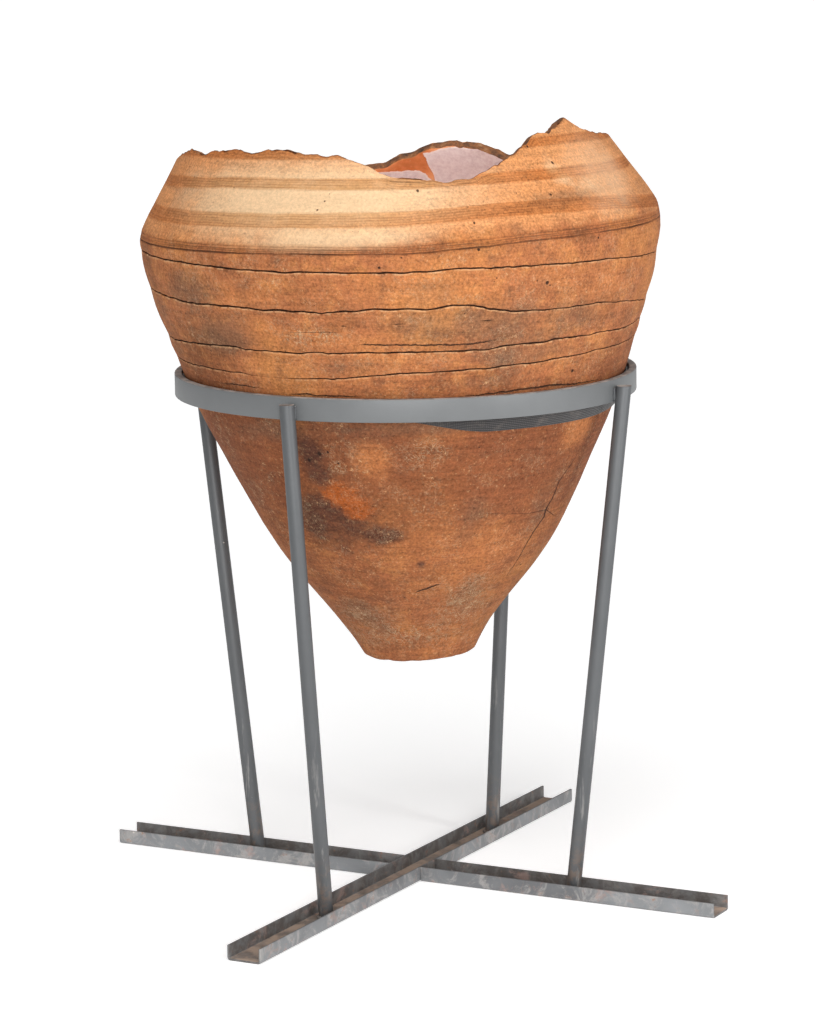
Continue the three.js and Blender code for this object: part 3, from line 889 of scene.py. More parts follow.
# %% Bands and joints
course = node(tree, "UVMap", uv_map="courses")
turn_here, map_height, _ = node(tree, "SeparateXYZ", course).node.outputs
level_mm = node(tree, "Math", map_height, 1 / MM, FOOT_HEIGHT, operation="MULTIPLY_ADD")
streak = grain(tree, 30, 4, 0.7, squash=(0.3, 0.3, 12), seed=17)
wander = node(tree, "Math", streak, 7.0, -3.5, operation="MULTIPLY_ADD")
fracture_here = node(tree, "Attribute", attribute_name="fracture", output=2)
unbroken = node(tree, "Math", 1.0, fracture_here, operation="SUBTRACT")
from_low_comb = node(tree, "Math", level_mm, GUIDES["comb_low"][0], operation="SUBTRACT")
from_scored = node(tree, "Math", level_mm, GUIDES["scored"][0], operation="SUBTRACT")
bands = 0.0
from_high_comb = node(tree, "Attribute", attribute_name="from_high_comb", output=2)
from_top_comb = node(tree, "Attribute", attribute_name="from_top_comb", output=2)
for distance, half, depth in ((from_low_comb, 9, 0.85), (from_high_comb, 7, 0.95),
                              (from_top_comb, 6, 0.95), (from_scored, 7, 0.45)):
    away = node(tree, "Math", node(tree, "Math", distance, operation="ABSOLUTE"), wander,
                operation="ADD")
    bands = node(tree, "Math",
                 node(tree, "MapRange", away, half + 2, half - 2, 0, depth,
                      interpolation_type="SMOOTHSTEP"), bands, operation="MAXIMUM")
bands = node(tree, "Math",
             node(tree, "Math", bands,
                  node(tree, "MapRange", cloud, 0.3, 0.6, 0.6, 1, interpolation_type="SMOOTHSTEP"),
                  operation="MULTIPLY"), unbroken, operation="MULTIPLY")
furrow_wave = node(tree, "Math", node(tree, "Math", level_mm, math.tau / 3.1, operation="MULTIPLY"),
                   operation="SINE")
furrows = node(tree, "MapRange",
               node(tree, "Math", furrow_wave,
                    node(tree, "Math", node(tree, "Math", streak, 0.5, operation="SUBTRACT"), 7.0,
                         operation="MULTIPLY"), operation="ADD"), 0.1, 1.0,
               interpolation_type="SMOOTHSTEP")
combed = node(tree, "Math", bands, furrows, operation="MULTIPLY")
body = node(tree, "Mix", bands, body, "#dfc6a8", data_type="RGBA", blend_type="MULTIPLY")
body = node(tree, "Mix",
            node(tree, "Math", combed, 0.35, operation="MULTIPLY"), body, "#b0907a",
            data_type="RGBA", blend_type="MULTIPLY")
scored = 0.0
for offset, half, depth in ((-4.8, 1.0, 1.0), (-1.6, 0.4, 0.6), (0.8, 0.6, 0.75), (4.2, 0.5, 0.65)):
    away = node(tree, "Math", node(tree, "Math", from_scored, offset, operation="SUBTRACT"),
                operation="ABSOLUTE")
    away = node(tree, "Math", away, node(tree, "Math", wander, 0.2, operation="MULTIPLY"),
                operation="ADD")
    scored = node(tree, "Math",
                  node(tree, "MapRange", away, half + 0.5, half - 0.5, 0, depth,
                       interpolation_type="SMOOTHSTEP"), scored, operation="MAXIMUM")
scored = node(tree, "Math",
              node(tree, "Math", scored,
                   node(tree, "MapRange", streak, 0.62, 0.45, 0.25, 1, interpolation_type="SMOOTHSTEP"),
                   operation="MULTIPLY"), unbroken, operation="MULTIPLY")
body = node(tree, "Mix", node(tree, "Math", scored, 0.8, operation="MULTIPLY"), body, "#4b2f20",
            data_type="RGBA")
body = node(tree, "Mix", stain_mask("dust", cloud, 0.45, 0.8, 0.5), body, "#d8b896", data_type="RGBA")
# The painted highlight under each open joint, stronger where the joint is wider
lip_highlight_here = node(tree, "Attribute", attribute_name="lip", output=2)
body = node(tree, "Mix",
            node(tree, "Math", node(tree, "Math", lip_highlight_here, 0.7, operation="MULTIPLY"),
                 node(tree, "MapRange", fleck, 0.42, 0.56, interpolation_type="SMOOTHSTEP"),
                 operation="MULTIPLY"), body, "#d9a97c", data_type="RGBA")
groove_here = node(tree, "Attribute", attribute_name="groove", output=2)
body = node(tree, "Mix",
            node(tree, "Math",
                 node(tree, "MapRange", groove_here, 0.12, 0.6, interpolation_type="SMOOTHSTEP"),
                 node(tree, "MapRange", speckle, 0.66, 0.5, 0.55, 1, interpolation_type="SMOOTHSTEP"),
                 operation="MULTIPLY"), body, "#341f15", data_type="RGBA")

# %% [markdown]
# A dozen hairline cracks and some burst pits are too fine for the mesh rows, so the material draws
# them. A curve gives each crack's height all along its turn round the jar, a second curve gives its
# width, and the crack is wherever the surface lies nearer to that height than the width.

# %% Cracks and burst pits
# Along each crack: azimuth, height and half width in mm. It is closed where the width is -1
CRACKS = {
    "fourth_coil_upper": [(-118, 94, -1), (-115.9, 93.9, 0), (-107, 93.6, 0.2), (-99.8, 92.1, -1),
                          (-95, 102, -1), (-91.2, 100.2, 0.5), (-88.6, 100.3, -1), (-75.5, 98, -1),
                          (-71.6, 96.1, 0.6), (-68.8, 97.1, -1)],
    "fourth_coil_lower": [(-105, 102.5, -1), (-103.5, 101.5, 0.5), (-102, 100, -1), (-101.6, 76.2, -1),
                          (-99, 75.3, 0.7), (-91.6, 72.6, 0.8), (-82.5, 69.3, 0.8), (-75.8, 66.9, 0.9),
                          (-71.6, 68, 0.7), (-67, 69.2, -1)],
    "above_hoop": [(-148, 17.2, -1), (-139.1, 18.9, 0.6), (-133.6, 18, 0.6), (-124, 13.1, -1),
                   (-122.6, 8, -1), (-118, 9.3, 0.6), (-115, 10, 0.9), (-113.7, 7.3, 0.7),
                   (-106.1, 6.2, 0.7), (-98, 3.7, -1), (-83, -2, -1), (-72.6, -3.5, 0.5),
                   (-62.1, -2.6, 0.9), (-51.6, -3.2, 1.0), (-44.8, -7.2, 0.7), (-37, -9, 0.6),
                   (-26, -10.7, -1)],
    "lower_body": [(-103, -156.6, -1), (-89.1, -161.2, -0.3), (-72.1, -169.1, -0.25),
                   (-60.4, -176.6, -0.1), (-46.4, -184.4, 0), (-37.3, -185.4, 0.3),
                   (-30, -196.5, 0.2), (-22, -207.5, -1)],
    "gouge": [(-97.5, -220, -1), (-95.5, -220.2, 0.2), (-93.5, -220.5, -1), (-92.6, -283.5, -1),
              (-91, -282, 0.6), (-86.6, -277.9, 1.1), (-82, -273.5, 1.0), (-77.2, -271.4, -1)],
}
UPRIGHT_CRACK = [(-42.1, -282, -1), (-42, -275.3, 0.5), (-41, -254, 0.8), (-40.7, -232.6, 0.9),
                 (-39.5, -214.9, 1.1), (-36.3, -196, 1.4), (-37.3, -185.4, 1.4),
                 (-35.7, -169.8, 1.1), (-35.6, -146.2, 0.8), (-31.1, -120.4, 0.5),
                 (-27.1, -91.8, -1)]
# Each burst pit: azimuth, height and radius in mm
BURST_PITS = [(-57.4, 137.2, 2.6), (-73.5, 190, 1.8), (-84.6, 267, 1.6), (-52.4, 247, 1.5),
              (-73.5, 223, 1.5), (-47, 285, 2.2), (-52.2, 308, 1.5), (-60, 141.5, 1.2),
              (-43.1, 186, 1.5), (-45.3, 11.6, 2.2), (-94.4, 175.8, 1.6), (-116.5, -74, 3.0),
              (-113.8, -72, 2.0), (-120.5, -84, 2.4), (-111.5, -88, 1.8)]
ROUND_BELLY = 2100
ROUND_LOWER_BODY = 1350


def turn_of(azimuth):
    """Where an azimuth lies in the map, from 0 to 1."""
    return (azimuth - SEAM_AZIMUTH) / 360 % 1


def crack_mask(along, across, points):
    """A crack along one map value, where across is the other value in mm."""
    starts, places, widths = (np.array(part, float) for part in zip(*points))
    share_along = (starts - starts[0]) / (starts[-1] - starts[0])
    low, high = places.min(), places.max()
    at = node(tree, "MapRange", along, starts[0], starts[-1])
    line = node(tree, "FloatCurve", Value=at,
                points=list(zip(share_along, (places - low) / (high - low))))
    width = node(tree, "FloatCurve", Value=at, points=list(zip(share_along, (widths + 1) / 3)))
    line_mm = node(tree, "Math", line, high - low, low, operation="MULTIPLY_ADD")
    width_mm = node(tree, "Math", width, 3.0, -1.0, operation="MULTIPLY_ADD")
    away = node(tree, "Math", node(tree, "Math", across, line_mm, operation="SUBTRACT"),
                operation="ABSOLUTE")
    return node(tree, "MapRange", node(tree, "Math", away, width_mm, operation="SUBTRACT"), 0.55, -0.35,
                interpolation_type="SMOOTHSTEP")


wobble = node(tree, "Math", fleck, 5.0, -2.5, operation="MULTIPLY_ADD")
shaky_height = node(tree, "Math", height_here, wobble, operation="ADD")
cracks = 0.0
for points in CRACKS.values():
    by_turn = [(turn_of(at), up, half) for at, up, half in points]
    cracks = node(tree, "Math", crack_mask(turn_here, shaky_height, by_turn), cracks,
                  operation="MAXIMUM")
turn_mm = node(tree, "Math", node(tree, "Math", turn_here, ROUND_LOWER_BODY, operation="MULTIPLY"),
               wobble, operation="ADD")
upright = [(up, turn_of(at) * ROUND_LOWER_BODY, half) for at, up, half in UPRIGHT_CRACK]
cracks = node(tree, "Math", crack_mask(height_here, turn_mm, upright), cracks, operation="MAXIMUM")
spot = node(tree, "CombineXYZ", node(tree, "Math", turn_here, ROUND_BELLY, operation="MULTIPLY"),
            height_here)
for at, up, wide in BURST_PITS:
    far = node(tree, "VectorMath", spot, (turn_of(at) * ROUND_BELLY, up, 0), output=1,
               operation="DISTANCE")
    far = node(tree, "Math", far, node(tree, "Math", wobble, 0.6, operation="MULTIPLY"), operation="ADD")
    cracks = node(tree, "Math",
                  node(tree, "MapRange", far, wide + 0.5, wide - 0.6, interpolation_type="SMOOTHSTEP"),
                  cracks, operation="MAXIMUM")
cracks = node(tree, "Math", cracks, unbroken, operation="MULTIPLY")
body = node(tree, "Mix",
            node(tree, "Math", cracks,
                 node(tree, "MapRange", speckle, 0.68, 0.5, 0.4, 0.95, interpolation_type="SMOOTHSTEP"),
                 operation="MULTIPLY"), body, "#2b1a12", data_type="RGBA")

# %% [markdown]
# The break is as old as the rest: grey-brown with dirt, redder where the core shows, and full of
# grit. It gets its own colours and a coarser bump.

# %% Broken edge and finish of the clay
core = grain(tree, 16, 6, 0.75, seed=31)
fracture_colour = node(tree, "ValToRGB", core,
                       stops=[(0.36, "#4f3c30"), (0.47, "#75503a"), (0.56, "#93603c"),
                              (0.68, "#a98767")])
body = node(tree, "Mix",
            node(tree, "MapRange", fracture_here, 0.2, 0.7, interpolation_type="SMOOTHSTEP"), body,
            fracture_colour, data_type="RGBA")
tree.links.new(body, shader.inputs["Base Color"])

sand = grain(tree, 2.6, 4, 0.75, seed=41)
coarse = grain(tree, 15, 5, 0.7, seed=43)
rough_break = node(tree, "Math", core, fracture_here, operation="MULTIPLY")
# Each pattern, and how many mm it stands proud at its full strength
CLAY_RELIEF = [(sand, 0.35), (coarse, 0.9), (lime, 0.3), (wiping, 0.5), (rough_break, 2.0),
               (pit, -1.0), (combed, -0.3), (scored, -0.6), (cracks, -1.5)]
clay_relief = 0.0
for pattern, proud in CLAY_RELIEF:
    clay_relief = node(tree, "Math", pattern, proud, clay_relief, operation="MULTIPLY_ADD")
clay_bump = node(tree, "Bump", Height=clay_relief, Distance=1 * MM, Strength=0.9)
tree.links.new(clay_bump, shader.inputs["Normal"])
print("fired clay:", len(tree.nodes), "nodes")

# %% [markdown]
# ## Glaze and plaster inside
#
# The inside was glazed to hold liquid. The glaze is clear and orange-brown over the clay, thin on
# the throwing rings and worn near the break. Two lost spots have been filled with lilac-grey
# plaster, which is matt. Each fill has straight sides, so its edge is the nearest of a few lines.

# %% Glaze
# Each fill: its corners as azimuth and height, clockwise as drawn with the azimuth to the right
FILLS = [
    [(56, 150), (56, 240), (58.5, 255), (61.9, 269.5), (64.9, 272), (72.4, 276), (75.5, 274),
     (82, 267), (76.4, 150)],
    [(79.8, 190), (81.3, 227), (82.3, 236), (84, 242.5), (96, 243.5), (96, 190)],
]
RADIUS_AT_FILLS = 300
fill_amount = np.full(len(azimuth), -99.0)
for corners in FILLS:
    inwards = np.full(len(azimuth), 99.0)
    for (at, up), (next_at, next_up) in zip(corners, corners[1:] + corners[:1]):
        run, climb = math.radians(next_at - at) * RADIUS_AT_FILLS, next_up - up
        beside = np.radians(azimuth - at) * RADIUS_AT_FILLS * climb - (height - up) * run
        inwards = np.minimum(inwards, beside / math.hypot(run, climb))
    fill_amount = np.maximum(fill_amount, inwards)
share(jar, "fill", fill_amount)

glaze, tree, shader = new_material("glazed_earthenware", 0.3)
shader.inputs["Coat Weight"].default_value = 0.4
shader.inputs["Coat Roughness"].default_value = 0.2
pool = grain(tree, 60, 5, 0.65, seed=51)
ring = grain(tree, 40, 4, 0.6, squash=(0.2, 0.2, 4), seed=53)
glaze_colour = node(tree, "ValToRGB", pool,
                    stops=[(0.35, "#d47f4b"), (0.5, "#f3a06a"), (0.65, "#fbbb88")])
glaze_colour = node(tree, "Mix",
                    node(tree, "MapRange", ring, 0.52, 0.7, 0, 0.25, interpolation_type="SMOOTHSTEP"),
                    glaze_colour, "#a95f35", data_type="RGBA")
worn = node(tree, "MapRange", grain(tree, 9, 6, 0.75, seed=55), 0.6, 0.7, 0, 0.6,
            interpolation_type="SMOOTHSTEP")
glaze_colour = node(tree, "Mix", worn, glaze_colour, "#e0b08a", data_type="RGBA")
fill_noise = grain(tree, 12, 4, 0.6, seed=57)
fill_edge = node(tree, "Math", node(tree, "Attribute", attribute_name="fill", output=2),
                 node(tree, "Math", node(tree, "Math", fill_noise, 0.5, operation="SUBTRACT"), 7.0,
                      operation="MULTIPLY"), operation="ADD")
fill_mask = node(tree, "MapRange", fill_edge, -0.5, 0.5, interpolation_type="SMOOTHSTEP")
plaster = node(tree, "ValToRGB", grain(tree, 7, 5, 0.7, seed=59),
               stops=[(0.38, "#e2d6d6"), (0.5, "#ece2e1"), (0.62, "#f4ecea")])
plaster = node(tree, "Mix",
               node(tree, "MapRange", fill_edge, 3.0, 0.8, 0, 0.7, interpolation_type="SMOOTHSTEP"),
               plaster, "#faf1ea", data_type="RGBA")
glaze_colour = node(tree, "Mix", fill_mask, glaze_colour, plaster, data_type="RGBA")
tree.links.new(glaze_colour, shader.inputs["Base Color"])
glaze_rough = node(tree, "Math", fill_mask, 0.62, 0.3, operation="MULTIPLY_ADD")
tree.links.new(glaze_rough, shader.inputs["Roughness"])
glaze_relief = node(tree, "Math", grain(tree, 5, 4, 0.6, seed=61), 0.4, fill_mask,
                    operation="MULTIPLY_ADD")
glaze_bump = node(tree, "Bump", Height=glaze_relief, Distance=1 * MM, Strength=0.7)
tree.links.new(glaze_bump, shader.inputs["Normal"])

jar.data.materials.append(clay)
jar.data.materials.append(glaze)
is_inside = np.minimum.reduceat((kind[corner_point] == INSIDE).astype(int), starts)
jar.data.polygons.foreach_set("material_index", is_inside)
jar.data.update()
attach(jar, "root")
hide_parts("pithos")
print("faces with glaze:", int(is_inside.sum()))

# %% [markdown]
# ## Steel under grey paint
#
# The stand is mild steel, welded, sprayed with a satin grey paint and then used. The paint itself is
# even, but the legs carry a darker copy of it, which is painted shade for the lesser light that
# reaches them. Dust lies on everything that faces up, the edges are scuffed pale, and small crumbs and
# runs of plaster stick to the lower parts. The foot cross has the most of all of this: it has smears,
# brown dust in its troughs and a little rust. Where an edge is sharp the Pointiness of the mesh finds
# it, which works because every edge is bevelled.

# %% Paint


def grey_paint(name, base, dark, pale, scuffed_edges=1.0):
    """Satin paint on steel, its node tree, its shader and its colour so far."""
    material, tree, shader = new_material(name, 0.5, 0.1)
    haze = grain(tree, 160, 4, 0.6, seed=71)
    coat = node(tree, "ValToRGB", haze, stops=[(0.3, dark), (0.5, base), (0.7, pale)])
    smear = grain(tree, 26, 6, 0.72, seed=73)
    coat = node(tree, "Mix",
                node(tree, "MapRange", smear, 0.5, 0.8, 0, 0.3, interpolation_type="SMOOTHSTEP"), coat,
                dark, data_type="RGBA")
    upward = node(tree, "SeparateXYZ", node(tree, "NewGeometry", output=1), output=2)
    faces_up = node(tree, "MapRange", upward, 0.6, 0.95, interpolation_type="SMOOTHSTEP")
    place = node(tree, "SeparateXYZ", node(tree, "TexCoord", output=3)).node.outputs
    edge = node(tree, "MapRange", node(tree, "NewGeometry", output=7), 0.53, 0.58,
                interpolation_type="SMOOTHSTEP")
    edge = node(tree, "Math",
                node(tree, "Math", edge,
                     node(tree, "MapRange", smear, 0.4, 0.6, 0.2, 0.8, interpolation_type="SMOOTHSTEP"),
                     operation="MULTIPLY"), scuffed_edges, operation="MULTIPLY")
    coat = node(tree, "Mix", edge, coat, "#808080", data_type="RGBA")
    return material, tree, shader, coat, smear, faces_up, place


def finish_paint(tree, shader, coat, smear, crumbs, dull):
    """Links the colour, and gives the paint its faint unevenness, its crumbs and its shine."""
    coat = node(tree, "Mix", node(tree, "Math", crumbs, 0.85, operation="MULTIPLY"), coat, "#bdb6b0",
                data_type="RGBA")
    tree.links.new(coat, shader.inputs["Base Color"])
    rough = node(tree, "Math", dull, 0.4, 0.48, operation="MULTIPLY_ADD")
    tree.links.new(rough, shader.inputs["Roughness"])
    uneven = 0.0
    for pattern, proud in ((grain(tree, 3, 3, 0.6, seed=77), 0.12), (smear, 0.25), (crumbs, 0.5)):
        uneven = node(tree, "Math", pattern, proud, uneven, operation="MULTIPLY_ADD")
    bump = node(tree, "Bump", Height=uneven, Distance=1 * MM, Strength=0.6)
    tree.links.new(bump, shader.inputs["Normal"])


def stand_coat(name, base, dark, pale, scuffed_edges):
    """The paint of the hoop and the legs: clean, with dust on top and runs of plaster low down."""
    material, tree, shader, coat, smear, faces_up, place = grey_paint(name, base, dark, pale,
                                                                      scuffed_edges)
    up = place[2]
    dust = node(tree, "Math", faces_up,
                node(tree, "MapRange", smear, 0.42, 0.58, 0.25, 0.9, interpolation_type="SMOOTHSTEP"),
                operation="MULTIPLY")
    coat = node(tree, "Mix", dust, coat, "#b0a9a3", data_type="RGBA")
    run = grain(tree, 7, 4, 0.7, squash=(1, 1, 0.08), seed=85)
    low = node(tree, "MapRange", up, 330 * MM, 60 * MM, interpolation_type="SMOOTHSTEP")
    runs = node(tree, "Math", low,
                node(tree, "MapRange", run, 0.56, 0.68, 0, 0.45, interpolation_type="SMOOTHSTEP"),
                operation="MULTIPLY")
    coat = node(tree, "Mix", runs, coat, "#a09c98", data_type="RGBA")
    dirt = node(tree, "Math",
                node(tree, "MapRange", up, 110 * MM, 25 * MM, interpolation_type="SMOOTHSTEP"),
                node(tree, "MapRange", grain(tree, 15, 6, 0.75, seed=86), 0.44, 0.6, 0, 0.7,
                     interpolation_type="SMOOTHSTEP"), operation="MULTIPLY")
    coat = node(tree, "Mix", dirt, coat, "#6d5d52", data_type="RGBA")
    cells = node(tree, "TexVoronoi", node(tree, "TexCoord", output=3), 1 / (16 * MM))
    size = node(tree, "MapRange", smear, 0.56, 0.72, 0, 0.1, interpolation_type="SMOOTHSTEP")
    crumbs = node(tree, "MapRange", node(tree, "Math", cells, size, operation="SUBTRACT"), 0.012, -0.012,
                  interpolation_type="SMOOTHSTEP")
    finish_paint(tree, shader, coat, smear, crumbs, dust)
    return material


stand_paint = stand_coat("satin_grey_paint", "#656768", "#606263", "#6a6c6d", 0.8)
# The legs get a darker copy of the hoop's paint: painted shade for the lesser light that reaches them
leg_paint_in_shade = stand_coat("satin_grey_paint_shaded_on_legs", "#505254", "#4b4d4f", "#555759", 0.0)

# %% [markdown]
# The cross stands on the floor, so it is the dirtiest piece. From far to near: brown grime between
# the walls, pale and pinkish smears of wiped plaster, dust drifted into the troughs, thin rust where
# the paint has worn off, and crumbs. Its paint uses the same start and finish as the stand's.

# %% Paint of the foot cross
channel_paint, tree, shader, coat, smear, faces_up, place = grey_paint(
    "scuffed_grey_paint", "#737577", "#5f6062", "#838587")
across = node(tree, "Math", node(tree, "Math", place[0], operation="ABSOLUTE"),
              node(tree, "Math", place[1], operation="ABSOLUTE"), operation="MINIMUM")
# The troughs' dirt ends inside their walls, whose outsides stand 25 mm from the middle of each arm
DIRT_HALF_WIDTH = 24
between_walls = node(tree, "MapRange", across, DIRT_HALF_WIDTH * MM, (DIRT_HALF_WIDTH - 1) * MM,
                     interpolation_type="SMOOTHSTEP")
grime = node(tree, "Math", between_walls,
             node(tree, "MapRange", smear, 0.4, 0.6, 0.9, 0.5, interpolation_type="SMOOTHSTEP"),
             operation="MULTIPLY")
coat = node(tree, "Mix", grime, coat, "#4d4743", data_type="RGBA")
wipe = grain(tree, 34, 6, 0.75, seed=87, distortion=1.2)
pale_smear = node(tree, "MapRange", wipe, 0.46, 0.62, 0, 0.75, interpolation_type="SMOOTHSTEP")
coat = node(tree, "Mix",
            node(tree, "Math", pale_smear,
                 node(tree, "Math", 1.0, node(tree, "Math", between_walls, 0.7, operation="MULTIPLY"),
                      operation="SUBTRACT"), operation="MULTIPLY"), coat, "#989592", data_type="RGBA")
pink_smear = node(tree, "MapRange", grain(tree, 42, 6, 0.75, seed=88, distortion=1.0), 0.56, 0.66, 0,
                  0.6, interpolation_type="SMOOTHSTEP")
coat = node(tree, "Mix", pink_smear, coat, "#957c74", data_type="RGBA")
in_trough = node(tree, "MapRange", place[2], 13 * MM, 5 * MM, interpolation_type="SMOOTHSTEP")
drift = node(tree, "MapRange", grain(tree, 40, 6, 0.75, seed=81), 0.38, 0.56, 0.3, 1,
             interpolation_type="SMOOTHSTEP")
dust = node(tree, "Math",
            node(tree, "Math", node(tree, "Math", faces_up, in_trough, operation="MULTIPLY"), drift,
                 operation="MULTIPLY"), 0.85, operation="MULTIPLY")
coat = node(tree, "Mix", dust, coat, "#ad9786", data_type="RGBA")
rust = node(tree, "MapRange", grain(tree, 17, 6, 0.75, seed=83), 0.57, 0.66, 0, 0.7,
            interpolation_type="SMOOTHSTEP")
coat = node(tree, "Mix",
            node(tree, "Math", rust,
                 node(tree, "MapRange", wipe, 0.45, 0.6, interpolation_type="SMOOTHSTEP"),
                 operation="MULTIPLY"), coat, "#8a5a3c", data_type="RGBA")
cells = node(tree, "TexVoronoi", node(tree, "TexCoord", output=3), 1 / (12 * MM))
size = node(tree, "MapRange", wipe, 0.5, 0.66, 0, 0.13, interpolation_type="SMOOTHSTEP")
crumbs = node(tree, "MapRange", node(tree, "Math", cells, size, operation="SUBTRACT"), 0.015, -0.015,
              interpolation_type="SMOOTHSTEP")
finish_paint(tree, shader, coat, smear, crumbs, dust)
print("paints:", stand_paint.name, leg_paint_in_shade.name, channel_paint.name)

# %% [markdown]
# ## The hoop
#
# The hoop is flat bar, 30 by 10 mm, rolled on edge. It is an open cylinder with walls: a tube of
# faces gets its 10 mm from the Solidify modifier, and a small bevel takes the sharpness off, as the
# mill does. The bevel also catches the light.

# %% Hoop
HOOP_OUTER_RADIUS = 315
HOOP_BAR_THICKNESS = 10
HOOP_BAR_HEIGHT = 30
HOOP_SIDES = 288
MILL_EDGE = 0.9

only()
bpy.ops.mesh.primitive_cylinder_add(
    vertices=HOOP_SIDES, radius=HOOP_OUTER_RADIUS * MM, depth=HOOP_BAR_HEIGHT * MM,
    end_fill_type="NOTHING", location=(0, 0, (HOOP_TOP - HOOP_BAR_HEIGHT / 2) * MM))
hoop = named("hoop_bar")
bpy.ops.object.transform_apply(location=True, rotation=True, scale=True)
wall = hoop.modifiers.new("bar", "SOLIDIFY")
wall.thickness = HOOP_BAR_THICKNESS * MM
wall.offset = -1
wall.use_even_offset = True
edge = hoop.modifiers.new("mill edge", "BEVEL")
edge.width = MILL_EDGE * MM
edge.segments = 3
edge.limit_method = "ANGLE"
edge.angle_limit = math.radians(40)
apply_all(hoop)
bpy.ops.object.shade_smooth_by_angle(angle=math.radians(40))
hoop.data.materials.append(stand_paint)
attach(hoop, "root")
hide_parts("hoop")
hoop_points = points_of(hoop)
hoop_radii = np.hypot(hoop_points[:, 0], hoop_points[:, 1]) / MM
print("hoop radii", round(hoop_radii.min(), 1), "to", round(hoop_radii.max(), 1), "mm")

# %% [markdown]
# ## The legs
#
# Each leg is a 20 mm round bar. It leans outwards from the foot cross to the hoop and is sawn level
# at both ends, so both ends are slightly oval. A straight cylinder is tilted, and two level bisect
# cuts make the ends. Small weld beads hold it: one round the foot, and one down each side at the
# hoop.

# %% One leg
LEG_DIAMETER = 20
LEG_FOOT_RADIUS = 248
LEG_TOP_BELOW_HOOP_TOP = 8
TOUCH = 0.4
CHANNEL_WALL = 3
LEG_SIDES = 64


def weld(piece_name, start, end, thickness, seed, ring_radius=0.0):
    """A weld bead with its ripples: a ring, or a straight run between two points, in mm."""
    only()
    if ring_radius:
        bpy.ops.mesh.primitive_torus_add(
            major_segments=72, minor_segments=10, major_radius=ring_radius * MM,
            minor_radius=thickness * MM, location=Vector(start) * MM)
    else:
        run = Vector(end) - Vector(start)
        bpy.ops.mesh.primitive_cylinder_add(vertices=12, radius=thickness * MM, depth=run.length * MM,
                                            location=(Vector(start) + Vector(end)) / 2 * MM,
                                            rotation=run.to_track_quat("Z", "Y").to_euler())
    bead = named(piece_name)
    bpy.ops.object.transform_apply(location=True, rotation=True, scale=True)
    if not ring_radius:
        bpy.ops.object.mode_set(mode="EDIT")
        bpy.ops.mesh.select_all(action="SELECT")
        for height_cut in np.linspace(0.06, 0.94, 14):
            at = Vector(start).lerp(Vector(end), height_cut) * MM
            bpy.ops.mesh.select_all(action="SELECT")
            bpy.ops.mesh.bisect(plane_co=at, plane_no=Vector(end) - Vector(start))
        bpy.ops.object.mode_set(mode="OBJECT")
    places = points_of(bead)
    random = np.random.default_rng(seed)
    waves = random.uniform(0, math.tau, 3)
    along = places @ random.uniform(-1, 1, 3) / MM
    size = 1 + 0.14 * np.sin(along * 1.7 + waves[0]) + 0.10 * np.sin(along * 3.9 + waves[1])
    if ring_radius:
        centre = np.array(start) * MM
        flat_way = places - centre
        ring_way = flat_way.copy()
        ring_way[:, 2] = 0
        ring_way *= (ring_radius * MM / np.linalg.norm(ring_way, axis=1))[:, None]
        middle = centre + ring_way
    else:
        axis = np.array(Vector(end) - Vector(start))
        axis /= np.linalg.norm(axis)
        offset = places - np.array(start) * MM
        middle = np.array(start) * MM + (offset @ axis)[:, None] * axis
    move_points(bead, middle + (places - middle) * size[:, None])
    return bead


leg_foot = CHANNEL_WALL + TOUCH
leg_top = HOOP_TOP - LEG_TOP_BELOW_HOOP_TOP
hoop_bottom = HOOP_TOP - HOOP_BAR_HEIGHT
leg_at_hoop = HOOP_OUTER_RADIUS + TOUCH + LEG_DIAMETER / 2
leg_lean = math.atan2(leg_at_hoop - LEG_FOOT_RADIUS, hoop_bottom - leg_foot)
leg_axis = Vector((math.sin(leg_lean), 0, math.cos(leg_lean)))

only()
bpy.ops.mesh.primitive_cylinder_add(vertices=LEG_SIDES, radius=LEG_DIAMETER / 2 * MM,
                                    depth=(leg_top + 60) * MM, rotation=(0, leg_lean, 0))
first_leg = named("leg_bar")
bpy.ops.object.transform_apply(location=True, rotation=True, scale=True)
middle_of_leg = Vector((LEG_FOOT_RADIUS, 0, leg_foot)) + leg_axis * (leg_top - leg_foot) / 2
bpy.ops.object.mode_set(mode="EDIT")
bpy.ops.mesh.select_all(action="SELECT")
bpy.ops.transform.translate(value=middle_of_leg * MM)
bpy.ops.mesh.bisect(plane_co=(0, 0, leg_foot * MM), plane_no=(0, 0, 1), use_fill=True,
                    clear_inner=True)
bpy.ops.mesh.select_all(action="SELECT")
bpy.ops.mesh.bisect(plane_co=(0, 0, leg_top * MM), plane_no=(0, 0, 1), use_fill=True,
                    clear_outer=True)
pick(first_leg, "polygons", lambda face: face.normal.z > 0.9)
bpy.ops.mesh.inset(thickness=1.1 * MM)
bpy.ops.transform.translate(value=(0, 0, -0.5 * MM))
bpy.ops.object.mode_set(mode="OBJECT")
edge = first_leg.modifiers.new("sawn edge", "BEVEL")
edge.width = 0.5 * MM
edge.segments = 2
edge.limit_method = "ANGLE"
edge.angle_limit = math.radians(30)
apply_all(first_leg)
leg_box = points_of(first_leg) / MM
print("leg from", leg_box.min(axis=0).round(1), "to", leg_box.max(axis=0).round(1))

# %% [markdown]
# The beads are joined to the leg, so that a leg stays one piece. Then the finished leg is copied for
# the four sides. Each copy is turned in its mesh, and its object stays at the origin.

